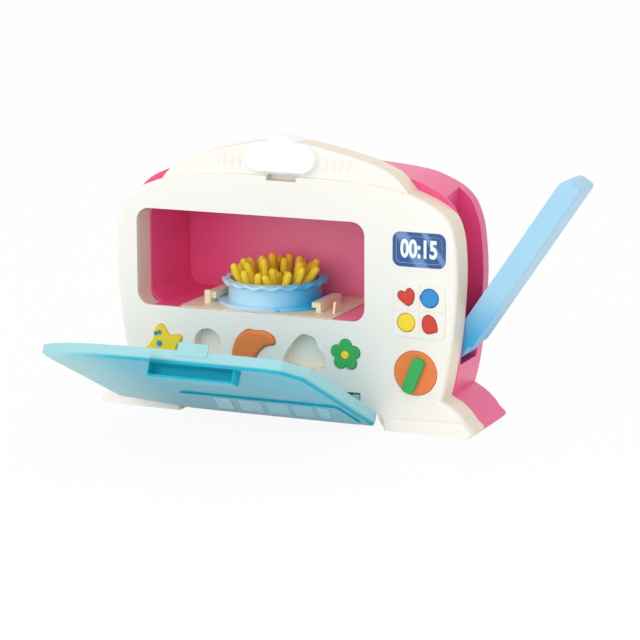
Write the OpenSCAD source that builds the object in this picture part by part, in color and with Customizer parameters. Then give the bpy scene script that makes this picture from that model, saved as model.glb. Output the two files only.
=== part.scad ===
// Toy kitchen oven for modelling dough.
// Front faces -Y, +X is to the right as seen from the front, +Z is up.
// Lengths are in millimetres. The origin lies on the floor, midway between the feet,
// under the middle of the bar that joins them.
// Inside this file depths count from the white front face, so y = 0 is that face.

/* [Casing] */
// Half width of the casing at its widest
casing_half_w = 149.5; // [146:0.5:156]
// Height of the front casing's top edge above the floor
front_top_z = 199; // [196:0.5:206]
// How much higher the rear casing stands than the front casing
rear_step_up = 6.2; // [4:0.1:9]
// Depth of the front casing
front_d = 26; // [25:0.5:30]
// Depth from the front face to the back of the rear casing
body_d = 78; // [77:0.5:84]
// Height of the casing's underside between the feet
belly_z = 12.6; // [11:0.1:14]
// Wall thickness of the two casings
wall = 2.5; // [2:0.1:3]
// Depth of the bar that joins the feet at the back
foot_bar_d = 5; // [4:0.5:8]

/* [Feet] */
// Distance from the middle to the inner edge of a foot
foot_in_x = 86; // [84:0.5:92]
// How far a foot spreads beyond the casing's half width
foot_spread = 15.2; // [12:0.1:18]
// How far the toes stand out of the front face
toe_out = 4; // [2:0.1:6]
// Height of the toes
toe_h = 12; // [8:0.5:12.5]

/* [Crown] */
// How far the crown stands above the front casing's top edge
crown_h = 28; // [24:0.5:33]
// Half width of the crown at its foot
crown_half_w = 109; // [104:0.5:114]
// Setback of the crown behind the front face
crown_y = 4; // [2:0.1:6]
// Half width of the badge plate
badge_half_w = 30; // [26:0.5:33]
// How far the badge plate's lower edge stands above the front casing's top edge
badge_rise = 3; // [2:0.5:6]
// Height of the badge plate's pill part
badge_h = 24; // [20:0.5:28]
// Radius of the badge plate's top lobe
badge_lobe_r = 17.5; // [15:0.5:20]
// How far the badge plate stands in front of the front face
badge_out = 3; // [1:0.1:5]
// Width of the latch slot
slot_w = 26; // [24:0.5:30]
// Height of the latch slot
slot_h = 4.7; // [4:0.1:6]
// Depth of the latch slot
slot_d = 9; // [8:0.5:12]

/* [Oven window] */
// Left edge of the window
window_x0 = -129.5; // [-131:0.5:-126]
// Right edge of the window
window_x1 = 72.1; // [68:0.1:76]
// Lower edge of the window
window_z0 = 85.6; // [85:0.1:87]
// Upper edge of the window
window_z1 = 166.2; // [160:0.2:168]
// Corner radius of the window
window_r = 11; // [8:0.5:14]
// Depth of the window's reveal
reveal_d = 24; // [18:0.5:24.5]
// Depth of the oven cavity's back wall behind the front face
cavity_d = 97; // [96:0.5:104]
// Wall thickness of the cavity liner
liner_wall = 2; // [1.6:0.1:2.4]

/* [Moulds] */
// Depth of the shape moulds in the front
mould_d = 12; // [8:0.5:12]
// Wall thickness of the mould cups
cup_wall = 1.6; // [1.2:0.1:2]
// Height of the mould row's centre
mould_z = 58.2; // [56:0.2:60]
// How far the dough pieces stand out of the front face
dough_out = 2.6; // [1:0.1:4]
// Gap between a dough piece and its mould
dough_gap = 0.3; // [0.2:0.05:0.5]
// Radius of the round mould
round_mould_r = 12.2; // [10:0.1:13]
// Radius of a flower petal
petal_r = 5.6; // [4.5:0.1:6]
// Radius of the dough disc on the dial
dial_r = 18.3; // [16:0.1:19]
// Width of the raised ring round the dial
dial_rim = 3; // [2:0.1:4]

/* [Control panel] */
// Width of the timer label
timer_w = 47.5; // [40:0.5:48]
// Height of the timer label
timer_h = 30.5; // [26:0.5:32]
// Width of the block of four moulds
panel_w = 43.6; // [40:0.2:46]
// Height of the block of four moulds
panel_h = 43.2; // [40:0.2:46]
// How far the block stands out of the front face
panel_out = 1.6; // [1:0.1:3]
// Radius of the round dough balls in the block
ball_r = 7.8; // [6.5:0.1:9]

/* [Door] */
// Right edge of the door
door_x1 = 87.1; // [84:0.1:89]
// Overall depth of the door
door_d = 10.5; // [10:0.1:13]
// Wall thickness of the door
door_wall = 2.2; // [1.8:0.1:2.6]
// Gap between the closed door's rim and the front face
door_gap = 0.3; // [0.2:0.05:0.6]
// Height of the door's hinge axis
hinge_z = 14; // [13.5:0.1:15]
// Depth of the door's hinge axis behind the front face
hinge_y = 3.5; // [3.3:0.1:4.2]
// Distance of each hinge from the middle
hinge_x = 62.5; // [60:0.5:66]
// Angle between the open door and the closed door
door_open = 64.4; // [55:0.1:65]
// Radius of the hinge pins
hinge_pin_r = 1.5; // [1.2:0.1:1.8]
// Width of the door's pull
pull_w = 74; // [60:1:84]

/* [Lever] */
// Distance of the lever's pivot from the middle
pivot_x = 137; // [136.5:0.1:138]
// Height of the lever's pivot
pivot_z = 64; // [62:0.5:66]
// Length of the lever from its pivot to its tip
lever_l = 168.8; // [140:0.2:180]
// Thickness of the lever
lever_t = 17.5; // [16:0.1:17.8]
// Angle of the lever above the horizontal at rest
lever_rest = 56; // [50:1:60]
// Radius of the lever's hub
hub_r = 9; // [8:0.1:9.3]
// Radius of the lever's shaft
shaft_r = 3; // [2.5:0.1:3.4]
// Depth kept for the gear and the rack behind the lever recess
drive_room = 12.5; // [12:0.1:14]
// Height of the recess's lower edge
recess_z0 = 51.5; // [50:0.5:53]

/* [Extruder] */
// Sideways centre of the pan and the dough cylinder
pan_x = -28; // [-30:0.5:-26]
// Depth of the pan's centre behind the front face
pan_y = 50; // [49:0.5:52]
// Top of the platform above the floor
platform_z = 86; // [85.8:0.1:86.6]
// Inner radius of the dough cylinder
cylinder_r = 32; // [28:0.5:32]
// Length of the dough cylinder
cylinder_l = 31; // [28:0.5:32]
// Outer radius of the pan's wall
pan_r = 38.5; // [36:0.5:39]
// Radius of the pan's rim
rim_r = 44; // [40:0.5:45]
// Height of the pan
pan_h = 21; // [18:0.5:22]
// Width of the platform on the pan's left
deck_left = 66; // [62:0.5:68]
// Width of the platform on the pan's right
deck_right = 70.5; // [66:0.5:72]
// Length of the rails beside the pan
rail_l = 43; // [36:0.5:48]
// Height of the rails beside the pan
rail_h = 9; // [8:0.1:10]
// Radius of one dough strand
strand_r = 2.8; // [2:0.1:2.9]
// Length of a dough strand above the die
strand_l = 15; // [10:1:18]
// Radius of the guide posts
post_r = 2.5; // [2:0.1:3]

/* [Hidden] */
$fn = 48;

eps = 0.01;            // overshoot of cuts
run_gap = 0.06;        // radial running clearance of shafts and posts
fit_gap = 0.3;         // clearance between fixed pieces
white = "#faf8f2";
pink = "#ea6590";
magenta = "#d8306c";
cream = "#dccdb8";
blue = "#46b5e4";
turquoise = "#5cc6d2";
yellow = "#f6c81a";
steel = "#b9bec4";

// ---- Helpers ----------------------------------------------------------------

// Extrudes a drawing of the x-z plane from depth y0 to depth y1.
module along_y(y0, y1) {
    translate([0, y1, 0])
        rotate([90, 0, 0])
            linear_extrude(y1 - y0)
                children();
}

// Moves a piece from front-face depths into the frame of the whole part.
module in_frame() {
    translate([0, -origin_depth, 0])
        children();
}

function mirrored(p) = [for (i = [len(p) - 1 : -1 : 0]) [-p[i][0], p[i][1]]];

function unit(v) = v / norm(v);

// One point of the smooth curve through four knots.
function knot_blend(a, b, c, d, t) =
    0.5 * (2 * b + (c - a) * t + (2 * a - 5 * b + 4 * c - d) * t * t
        + (3 * b - a - 3 * c + d) * t * t * t);

// Smooth open curve through a list of knots, n points for each span.
function curve(k, n) = concat(
    [for (i = [0 : len(k) - 2], j = [0 : n - 1])
        knot_blend(k[max(i - 1, 0)], k[i], k[i + 1], k[min(i + 2, len(k) - 1)], j / n)],
    [k[len(k) - 1]]);

// Smooth closed curve through a list of knots.
function loop_curve(k, n) = let (m = len(k))
    [for (i = [0 : m - 1], j = [0 : n - 1])
        knot_blend(k[(i + m - 1) % m], k[i], k[(i + 1) % m], k[(i + 2) % m], j / n)];

// Counter-clockwise outline moved inwards by d.
function inset(p, d) = let (m = len(p))
    [for (i = [0 : m - 1]) let (
        e1 = unit(p[i] - p[(i + m - 1) % m]),
        e2 = unit(p[(i + 1) % m] - p[i]),
        n1 = [-e1[1], e1[0]],
        n2 = [-e2[1], e2[0]])
        p[i] + d * (n1 + n2) / (1 + n1 * n2)];

function arc(cx, cz, r, a0, a1, n) =
    [for (i = [0 : n]) let (a = a0 + (a1 - a0) * i / n) [cx + r * cos(a), cz + r * sin(a)]];

// Counter-clockwise rectangle with round corners.
function round_rect(x0, x1, z0, z1, r, n = 6) = concat(
    arc(x1 - r, z0 + r, r, -90, 0, n), arc(x1 - r, z1 - r, r, 0, 90, n),
    arc(x0 + r, z1 - r, r, 90, 180, n), arc(x0 + r, z0 + r, r, 180, 270, n));

// ---- Outlines of the casings ------------------------------------------------

half_w = casing_half_w;
origin_depth = body_d - foot_bar_d / 2;
foot_out_x = half_w + foot_spread;
rear_top_z = front_top_z + rear_step_up;

// Right foot from the belly down, round the bead at its edge and up to the casing.
foot_knots = [
    [foot_in_x - 3, belly_z], [foot_in_x, 5], [foot_in_x + 4, 0],
    [foot_out_x - 2, 0], [foot_out_x, 2.2], [foot_out_x - 0.8, 5],
    [foot_out_x - 5, 8.3], [foot_out_x - 9, 13.8], [foot_out_x - 14, 18.6],
    [foot_out_x - 18.6, 22.2]
];

front_side_knots = [
    [half_w - 12.4, 27], [half_w - 8.3, 45], [half_w - 3.1, 78], [half_w, 120],
    [half_w - 1, front_top_z - 49], [half_w - 4.2, front_top_z - 34],
    [half_w - 8.8, front_top_z - 25.5], [half_w - 17.5, front_top_z - 18.8],
    [half_w - 33, front_top_z - 11.3], [half_w - 55, front_top_z - 5.2],
    [half_w - 96, front_top_z - 1.1], [0, front_top_z]
];

rear_side_knots = [
    [half_w - 11.8, 27], [half_w - 7.5, 45], [half_w - 3.4, 78], [half_w - 0.9, 120],
    [half_w - 3.2, rear_top_z - 52], [half_w - 7, rear_top_z - 37],
    [half_w - 12, rear_top_z - 26.5], [half_w - 21, rear_top_z - 17.7],
    [half_w - 33.6, rear_top_z - 11.3], [half_w - 52.6, rear_top_z - 5.2],
    [half_w - 96, rear_top_z - 0.8], [0, rear_top_z]
];

function body_outline(side_knots) = let (
    right = concat(foot_knots, curve(side_knots, 3)),
    left = mirrored([for (i = [0 : len(right) - 2]) right[i]]))
    concat(right, left);

front_outline = body_outline(front_side_knots);
rear_outline = body_outline(rear_side_knots);

// Face of the front casing without the feet, for what follows its edge.
face_outline = let (
    right = concat([[half_w - 30, belly_z], [half_w - 21, 17.6]], curve(front_side_knots, 3)),
    left = mirrored([for (i = [0 : len(right) - 2]) right[i]]))
    concat(right, left);

// The crown's right half: shares of its half width and of its height.
crown_knots = [
    for (k = [[1, -0.36], [0.917, 0.02], [0.835, 0.27], [0.67, 0.52], [0.42, 0.764],
        [0.165, 0.95], [0, 1]])
        [k[0] * crown_half_w, front_top_z + k[1] * crown_h]
];

crown_outline = let (right = curve(crown_knots, 3))
    concat(right, mirrored([for (i = [0 : len(right) - 2]) right[i]]));

// ---- Places that several pieces share -----------------------------------------

gear_r = 12;                       // pitch radius of the lever's gear
gear_module = 1;                   // tooth module of the gear and the rack

// Slots that the door's arms swing in.
hinge_slot_w = 12.4;
hinge_slot_d = 15;
hinge_slot_top = 28;
arm_clear = 0.6;                   // beside each door arm

// Casing screws: x and z of each axis.
screw_spots = [[100, 179], [-100, 179], [118, 11], [-118, 11], [85, 125], [-139.5, 112]];
screw_r = 1.5;
screw_head_r = 3;
screw_head_h = 2;
post_wall = 1.6;
screw_seat_y = front_d + 18;       // where the screw heads bear
screw_boss_r = screw_r + 2.4;

star_at = [-107, 52.5];
round_at = [-66.3, 57.7];
croissant_at = [-25.4, mould_z];
shell_at = [19.7, 57.4];
flower_at = [55.9, mould_z];
dial_at = [115.9, 48.5];
dial_bar_tilt = 22;
timer_at = [118.7, 147.6];
panel_at = [119.2, 98.8];
panel_mid = panel_at + [-1.1, 0.6];  // middle of the four moulds
panel_cell = [9.8, 10.4];
panel_step = 1.4;                  // how far the block's edge laps the casing
dial_d = 8;

badge_z = front_top_z + badge_rise;

// Floor of the cavity and the deck below the pan.
floor_z = platform_z - 1;
floor_under_z = floor_z - liner_wall;
cavity_x0 = window_x0 + 1.5;
cavity_x1 = window_x1 - 0.1;
cavity_z1 = window_z1;
deck_x0 = pan_x - deck_left;
deck_x1 = pan_x + deck_right;
deck_y0 = 5;
deck_y1 = cavity_d - 3;

// Carriage, posts and rack.
post_dx = 52;
post_xs = [pan_x - post_dx, pan_x + post_dx];
post_foot_z = belly_z + wall;
post_boss_r = post_r + 2.5;
post_top_z = floor_under_z - 4;
flange_t = 2.5;
arm_z0 = 26;
arm_h = 8;
arm_w = 12;
piston_gap = 0.3;
piston_r = cylinder_r - piston_gap;
piston_z = 66;
piston_h = 6;
stem_r = 5;
rack_y0 = body_d - drive_room + wall + 1;
rack_t = 5;
rack_pitch_x = pivot_x - gear_r;
rack_back_x = rack_pitch_x - 11;
rack_top_z = pivot_z + 18;

// Lever recess.
recess_y0 = front_d + 2;
recess_y1 = body_d - drive_room;
recess_x_front = 130.5;
recess_x_rear = 127;
recess_wall_x = 123.5;
recess_wall_y1 = recess_y1 + wall;
lever_y0 = recess_y0 + 0.5;
lever_y1 = recess_y1 - 0.5;
hub_pocket_r = hub_r + 0.9;
lever_out = lever_t / 2 + 3;       // outer face from the pivot
lever_in = lever_t - lever_out;    // inner face from the pivot
shaft_y0 = front_d - 4;
shaft_y1 = rack_y0 + rack_t + 1;

// Pan.
pan_gap = 0.1;
pan_z = platform_z + pan_gap;
pan_flange_t = 3;
pan_flange_r = 46;
ear_x0 = -46.2;                    // left and right ends of the pan's ears
ear_x1 = 48.2;
left_rail_y0 = pan_y - rail_l / 2 - 1.5;    // front ends of the rails
right_rail_y0 = pan_y - rail_l / 2 - 6.5;
rail_post = 3.5;                   // how far the post stands in front of the left rail
rail_gap = 0.6;                    // beside the pan's ears
rail_x0 = pan_x + ear_x0 - rail_gap;
rail_x1 = pan_x + ear_x1 + rail_gap;
rail_lip = 3.6;                    // how far a rail's lip reaches inwards
left_rail_w = 5;
right_rail_w = 4.2;
fin_off = 14.2;                    // from the right rail to the upright fin
fin_t = 1.8;
die_t = 2;
die_z = pan_z + pan_h - 5 - die_t;
pan_wall_t = 2.3;
die_hole_r = strand_r + 0.3;
dough_pad_r = cylinder_r + 1;

// ---- Front casing -------------------------------------------------------------

// Starfish with rounded arms.
star_knots = [
    [18.2, 8], [14.5, 10.4], [9.8, 9.6], [6.6, 9], [3.8, 13.5], [1.2, 17.2],
    [-1.6, 18], [-5, 16.2], [-7.1, 12.7], [-7.6, 9], [-8.2, 6.2], [-10.5, 2.6],
    [-13.8, -1.4], [-18.5, -5], [-20.3, -8.5], [-18, -11.5], [-13, -11.2], [-8.5, -11.4],
    [-8.3, -15.5], [-6, -18.8], [-2.5, -19.2], [0.5, -16], [3.2, -12.6], [7, -14.5],
    [11.5, -16.8], [15, -14.8], [15, -10.5], [12.8, -5.5], [12.6, -1], [15.6, 3.6]
];

function star_shape(gap) = inset([for (p = loop_curve(star_knots, 3)) p + star_at], gap);

// Crescent roll, one horn to the right and one down at the left.
croissant_knots = [
    [18.6, 2.4], [20.2, 6], [18.6, 9.8], [15, 12.2], [9.5, 14], [3, 13.6], [-3.8, 14.4],
    [-9, 11.6], [-14, 7], [-17.4, 0], [-18.8, -8], [-16.5, -16], [-10.5, -20.5],
    [-4.5, -19.5], [0, -14.5], [3.2, -8.5], [7.5, -2.2], [13, 1.4]
];

function croissant_shape(gap) =
    inset([for (p = loop_curve(croissant_knots, 3)) p + croissant_at], gap);

// Fluted scallop shell, wide edge down.
shell_knots = [
    [-2.5, 14.2], [-9, 8.5], [-16, -1], [-19, -8.5], [-16, -13.5], [-9.5, -12.6],
    [-5, -15.8], [1, -14.4], [6.5, -16], [11.5, -13.4], [17.8, -12.5], [19.4, -7],
    [17.6, -1], [12, 5], [10.5, 11], [3.5, 14.2]
];

shell_shape = [for (p = loop_curve(shell_knots, 3)) p + shell_at];

module flower_shape(gap) {
    for (i = [0 : 4])
        translate(flower_at + 7.6 * [cos(90 + 72 * i), sin(90 + 72 * i)])
            circle(petal_r - gap);
    translate(flower_at)
        circle(petal_r);
}

module mould_shapes() {
    polygon(star_shape(0));
    translate(round_at)
        circle(round_mould_r);
    polygon(croissant_shape(0));
    polygon(shell_shape);
    flower_shape(0);
    translate(dial_at)
        circle(dial_r);
}

// Outer wall of a mould cup round a shape drawn through knots.
function cup_shape(knots, at) = [for (p = loop_curve(inset(knots, -cup_wall), 3)) p + at];

module mould_cups() {
    polygon(cup_shape(star_knots, star_at));
    translate(round_at)
        circle(round_mould_r + cup_wall);
    polygon(cup_shape(croissant_knots, croissant_at));
    polygon(cup_shape(shell_knots, shell_at));
    flower_shape(-cup_wall);
}

function panel_shape(grow) = round_rect(
    panel_at[0] - panel_w / 2 - grow, panel_at[0] + panel_w / 2 + grow,
    panel_at[1] - panel_h / 2 - grow, panel_at[1] + panel_h / 2 + grow, 6 + grow);

function window_shape(grow, z0) =
    round_rect(window_x0 - grow, window_x1 + grow, z0 - grow, window_z1 + grow, window_r + grow);

// Walls round the window, with a low sill that leaves room for the dough cylinder.
module window_reveal() {
    difference() {
        along_y(wall - eps, reveal_d)
            polygon(window_shape(wall, floor_under_z));
        translate([window_x0 + window_r, wall + 5.5, floor_under_z - wall - 1])
            cube([window_x1 - window_x0 - 2 * window_r, reveal_d, wall + 1]);
    }
}

module hinge_bosses() {
    for (side = [-1, 1], end = [0, 1])
        translate([side * hinge_x + (end == 1 ? hinge_slot_w / 2 : -hinge_slot_w / 2 - 7),
            hinge_y, hinge_z])
            rotate([0, 90, 0])
                cylinder(r = hinge_pin_r + 1.8, h = 7);
}

module hinge_slots() {
    for (side = [-1, 1])
        translate([side * hinge_x - hinge_slot_w / 2, -toe_out - 1, belly_z - 6])
            cube([hinge_slot_w, toe_out + 1 + hinge_slot_d, hinge_slot_top - belly_z + 6]);
}

// Walls that close the hinge slots and the latch slot from behind.
module pocket_walls() {
    for (side = [-1, 1])
        translate([side * hinge_x - hinge_slot_w / 2 - cup_wall, wall - eps, belly_z])
            cube([hinge_slot_w + 2 * cup_wall, hinge_slot_d + cup_wall - wall,
                hinge_slot_top + cup_wall - belly_z]);
    translate([-slot_w / 2 - cup_wall, wall - eps, front_top_z - slot_h + 0.7 - cup_wall])
        cube([slot_w + 2 * cup_wall, slot_d + cup_wall - wall, slot_h]);
}

module screw_bosses() {
    for (s = screw_spots)
        translate([s[0], wall - eps, s[1]])
            rotate([-90, 0, 0])
                cylinder(r = screw_boss_r, h = screw_seat_y - 3 - wall);
}

module front_casing() {
    color(white) in_frame() difference() {
        union() {
            difference() {
                along_y(0, front_d)
                    polygon(front_outline);
                along_y(wall, front_d + 1)
                    polygon(inset(front_outline, wall));
            }
            for (side = [0, 1])
                mirror([side, 0, 0])
                    along_y(-toe_out, eps)
                        polygon(concat([[foot_in_x + 2.4, toe_h - 2], [foot_in_x + 4, 0]],
                            [for (i = [3 : 6]) foot_knots[i]], [[foot_out_x - 8, toe_h]]));
            window_reveal();
            along_y(wall - eps, mould_d + cup_wall)
                mould_cups();
            along_y(wall - eps, dial_d + cup_wall)
                translate(dial_at)
                    circle(dial_r + cup_wall);
            along_y(-1.2, eps)
                translate(dial_at)
                    circle(dial_r + dial_rim);
            screw_bosses();
            hinge_bosses();
            pocket_walls();
        }
        along_y(-1, wall + eps)
            polygon(window_shape(0, window_z0));
        along_y(wall, reveal_d + 1)
            polygon(window_shape(0, floor_under_z));
        difference() {
            along_y(-2, mould_d)
                mould_shapes();
            along_y(dial_d, mould_d + 1)
                translate(dial_at)
                    circle(dial_r + 1);
        }
        along_y(-1, wall + 1)
            polygon(panel_shape(fit_gap - panel_step));
        translate([-slot_w / 2, -1, front_top_z - slot_h + 0.7])
            cube([slot_w, slot_d + 1, slot_h + 1]);
        hinge_slots();
        translate([-hinge_x - 20, hinge_y, hinge_z])
            rotate([0, 90, 0])
                cylinder(r = hinge_pin_r, h = 2 * hinge_x + 40);
        for (s = screw_spots)
            translate([s[0], screw_seat_y - 14, s[1]])
                rotate([-90, 0, 0])
                    cylinder(r = screw_r, h = 14);
    }
}

// ---- Crown ------------------------------------------------------------------------

module crown_shape(d) {
    difference() {
        polygon(inset(crown_outline, d));
        polygon(inset(face_outline, -d));
    }
}

module crown_cover() {
    color(white) in_frame() difference() {
        along_y(crown_y, front_d)
            difference() {
                polygon(crown_outline);
                polygon(face_outline);
            }
        along_y(crown_y + wall, front_d - wall)
            polygon(inset(crown_outline, wall));
        translate([-slot_w / 2, crown_y - 1, front_top_z - 2])
            cube([slot_w, slot_d - crown_y + 1, 2.7]);
    }
}

// Top lobe of the badge plate, above its pill part.
module badge_lobe() {
    intersection() {
        translate([0, badge_z + badge_h / 2])
            circle(badge_lobe_r);
        translate([-badge_half_w, badge_z + badge_h / 4])
            square([2 * badge_half_w, 2 * badge_lobe_r]);
    }
}

module badge_shape() {
    polygon(round_rect(-badge_half_w, badge_half_w, badge_z, badge_z + badge_h, badge_h / 2 - 0.5));
    badge_lobe();
}

module crown_plate() {
    color("#fdfcf8") in_frame() {
        along_y(-badge_out, crown_y)
            badge_shape();
        along_y(crown_y - eps, front_d - 4)
            difference() {
                badge_lobe();
                polygon(crown_outline);
            }
    }
}

// ---- Rear casing ------------------------------------------------------------------

bulge_x0 = cavity_x0 - liner_wall - wall - fit_gap;
bulge_x1 = cavity_x1 + liner_wall + wall + fit_gap;
bulge_z0 = floor_under_z - cylinder_l - wall - 3;
bulge_z1 = cavity_z1 + liner_wall + wall + fit_gap;
bulge_y1 = cavity_d + liner_wall + wall + fit_gap;

// Hollow beside the lever, open to the side and the top.
module lever_recess() {
    translate([0, 0, recess_z0])
        linear_extrude(front_top_z)
            polygon([[recess_x_front, recess_y0], [half_w + 30, recess_y0],
                [half_w + 30, recess_y1], [recess_x_rear, recess_y1]]);
    translate([pivot_x, recess_y0, pivot_z])
        rotate([-90, 0, 0])
            cylinder(r = hub_pocket_r, h = recess_y1 - recess_y0);
}

module recess_block(grow) {
    translate([recess_wall_x - grow, front_d - grow, recess_z0 - wall - grow])
        cube([half_w, recess_wall_y1 - front_d + 2 * grow, front_top_z]);
}

module rear_casing() {
    color(pink) in_frame() difference() {
        union() {
            difference() {
                along_y(front_d, body_d)
                    polygon(rear_outline);
                difference() {
                    along_y(front_d - 1, body_d - wall)
                        polygon(inset(rear_outline, wall));
                    recess_block(0);
                }
            }
            along_y(front_d, front_d + wall)
                difference() {
                    polygon(rear_outline);
                    polygon(inset(front_outline, wall));
                }
            along_y(body_d - foot_bar_d, body_d)
                translate([-foot_in_x - 1, 0])
                    square([2 * foot_in_x + 2, belly_z + 1]);
            along_y(body_d - eps, bulge_y1)
                polygon(round_rect(bulge_x0, bulge_x1, bulge_z0, bulge_z1, window_r + 2));
            for (s = screw_spots)
                translate([s[0], screw_seat_y - 3, s[1]])
                    rotate([-90, 0, 0])
                        cylinder(r = screw_head_r + 0.5 + post_wall, h = body_d - screw_seat_y + 3);
            for (x = post_xs)
                translate([x, pan_y, belly_z + 1])
                    cylinder(r = post_boss_r, h = wall + 2);
        }
        along_y(body_d - wall - 1, bulge_y1 - wall)
            polygon(round_rect(bulge_x0 + wall, bulge_x1 - wall, bulge_z0 + wall, bulge_z1 - wall,
                window_r));
        lever_recess();
        translate([pivot_x, front_d - 1, pivot_z])
            rotate([-90, 0, 0])
                cylinder(r = shaft_r + run_gap, h = recess_wall_y1 - front_d + 2);
        for (s = screw_spots) {
            translate([s[0], screw_seat_y, s[1]])
                rotate([-90, 0, 0])
                    cylinder(r = screw_head_r + 0.5, h = bulge_y1);
            translate([s[0], screw_seat_y - 4, s[1]])
                rotate([-90, 0, 0])
                    cylinder(r = screw_r + 0.1, h = 8);
        }
        for (x = post_xs)
            translate([x, pan_y, post_foot_z])
                cylinder(r = post_r + 0.02, h = 10);
    }
}

// ---- Cavity liner, platform and dough cylinder --------------------------------------

module oven_liner() {
    color(magenta) in_frame() difference() {
        union() {
            along_y(reveal_d, cavity_d + liner_wall)
                polygon(round_rect(cavity_x0 - liner_wall, cavity_x1 + liner_wall,
                    floor_under_z, cavity_z1 + liner_wall, window_r + liner_wall));
            translate([window_x0 + window_r + 1, wall + fit_gap, floor_under_z])
                cube([window_x1 - window_x0 - 2 * window_r - 2, reveal_d, liner_wall]);
        }
        along_y(reveal_d - 1, cavity_d)
            polygon(round_rect(cavity_x0, cavity_x1, floor_z, cavity_z1, window_r));
        translate([deck_x0 - fit_gap, deck_y0 - fit_gap, floor_z - 1])
            cube([deck_x1 - deck_x0 + 2 * fit_gap, deck_y1 - deck_y0 + 2 * fit_gap, 2]);
        translate([pan_x, pan_y, 0])
            cylinder(r = cylinder_r + fit_gap, h = floor_z + 1);
    }
}

module rail(x0, x1, lip_x, y0, y1, h) {
    translate([x0, y0, platform_z - eps])
        cube([x1 - x0, y1 - y0, h]);
    translate([min(lip_x, x1), y0, pan_z + pan_flange_t + 0.5])
        cube([max(lip_x, x0) - min(lip_x, x1), y1 - y0, h - pan_flange_t - 0.6]);
}

module platform() {
    color(cream) in_frame() difference() {
        union() {
            translate([deck_x0, deck_y0, floor_z - 1])
                linear_extrude(2)
                    polygon(round_rect(0, deck_x1 - deck_x0, 0, deck_y1 - deck_y0, 3));
            rail(rail_x0 - left_rail_w, rail_x0, rail_x0 + rail_lip, left_rail_y0,
                left_rail_y0 + rail_l, rail_h);
            rail(rail_x1, rail_x1 + right_rail_w, rail_x1 - rail_lip, right_rail_y0,
                right_rail_y0 + rail_l, rail_h - 1);
            translate([rail_x0 - left_rail_w, left_rail_y0 - rail_post, platform_z - eps])
                cube([left_rail_w, left_rail_w, rail_h + 1.5]);
            translate([rail_x1 + fin_off, right_rail_y0 + 0.5, platform_z - eps])
                rotate([90, 0, 90])
                    linear_extrude(fin_t)
                        polygon([[0, 0], [2 * rail_h, 0], [rail_h, rail_h - 0.5],
                            [rail_h / 3, rail_h]]);
        }
        translate([pan_x, pan_y, 0])
            cylinder(r = cylinder_r, h = platform_z + 1);
    }
}

module dough_cylinder() {
    color("#e8e4dc") in_frame() difference() {
        union() {
            translate([pan_x, pan_y, floor_under_z - cylinder_l])
                cylinder(r = cylinder_r + 2.5, h = cylinder_l);
            translate([pan_x - post_dx - 9, pan_y - 20, floor_under_z - flange_t])
                cube([2 * post_dx + 18, 40, flange_t]);
            for (x = post_xs)
                translate([x, pan_y, floor_under_z - 12])
                    cylinder(r = post_boss_r, h = 12);
        }
        translate([pan_x, pan_y, floor_under_z - cylinder_l - 1])
            cylinder(r = cylinder_r, h = cylinder_l + 2);
        for (x = post_xs)
            translate([x, pan_y, 0])
                cylinder(r = post_r + 0.02, h = post_top_z);
    }
}

module guide_post(x) {
    color(steel) in_frame()
        translate([x, pan_y, post_foot_z])
            cylinder(r = post_r, h = post_top_z - post_foot_z);
}

// ---- Front details --------------------------------------------------------------------

module timer_label() {
    color("#265a96") in_frame()
        along_y(-0.5, 0)
            polygon(round_rect(timer_at[0] - timer_w / 2, timer_at[0] + timer_w / 2,
                timer_at[1] - timer_h / 2, timer_at[1] + timer_h / 2, 7.5));
}

function heart_shape(gap) = inset([for (p = loop_curve([
    [-1, 4], [-4.8, 4.6], [-7.4, 2], [-6.2, -2.2], [-1.2, -6], [1.8, -7.4],
    [5, -5.4], [7, -0.4], [6.6, 4.2], [3.2, 7.2], [0.4, 6]], 3))
    p + panel_mid + [-panel_cell[0], panel_cell[1]]], gap);

function strawberry_shape(gap) = inset([for (p = loop_curve([
    [-0.6, 7.8], [-5.2, 5.2], [-6.4, 0], [-5, -5.8], [-1, -8], [3.4, -6.8],
    [6.8, -5.2], [6.5, -0.8], [4.5, 4.7]], 3))
    p + panel_mid + [panel_cell[0], -panel_cell[1]]], gap);

module panel_moulds() {
    polygon(heart_shape(0));
    polygon(strawberry_shape(0));
    translate(panel_mid + panel_cell)
        circle(ball_r);
    translate(panel_mid - panel_cell)
        circle(ball_r);
}

module button_panel() {
    groove = 0.8;
    color(white) in_frame() difference() {
        union() {
            along_y(-panel_out, 0)
                polygon(panel_shape(0));
            along_y(-eps, mould_d - 2 + cup_wall)
                polygon(panel_shape(-panel_step));
        }
        along_y(-panel_out - 1, mould_d - 2)
            panel_moulds();
        translate([panel_at[0] - groove / 2, -panel_out - 1, panel_at[1] - panel_h / 2 - 1])
            cube([groove, 1 + groove, panel_h + 2]);
        translate([panel_at[0] - panel_w / 2 - 1, -panel_out - 1, panel_at[1] - groove / 2])
            cube([panel_w + 2, 1 + groove, groove]);
    }
}

module star_dough() {
    color(yellow) in_frame() difference() {
        along_y(-dough_out, mould_d)
            polygon(star_shape(dough_gap));
        star_dot_shapes();
    }
}

module star_dot_shapes() {
    for (d = [[-5.2, 10.2, 1.5], [-1.8, 11.2, 1.6], [-2, 1.8, 2.3]])
        translate([star_at[0] + d[0], -dough_out - 0.7, star_at[1] + d[1]])
            rotate([-90, 0, 0])
                cylinder(r = d[2], h = 1.7);
}

module star_dots() {
    color("#2374c8") in_frame()
        star_dot_shapes();
}

module croissant_dough() {
    color("#e8651a") in_frame()
        along_y(-dough_out - 0.6, mould_d)
            polygon(croissant_shape(dough_gap));
}

module flower_petals() {
    color("#28964f") in_frame() difference() {
        along_y(-dough_out + 1, mould_d)
            flower_shape(dough_gap);
        translate([flower_at[0], -dough_out, flower_at[1]])
            rotate([-90, 0, 0])
                cylinder(r = 3.6, h = dough_out + 1);
    }
}

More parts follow.
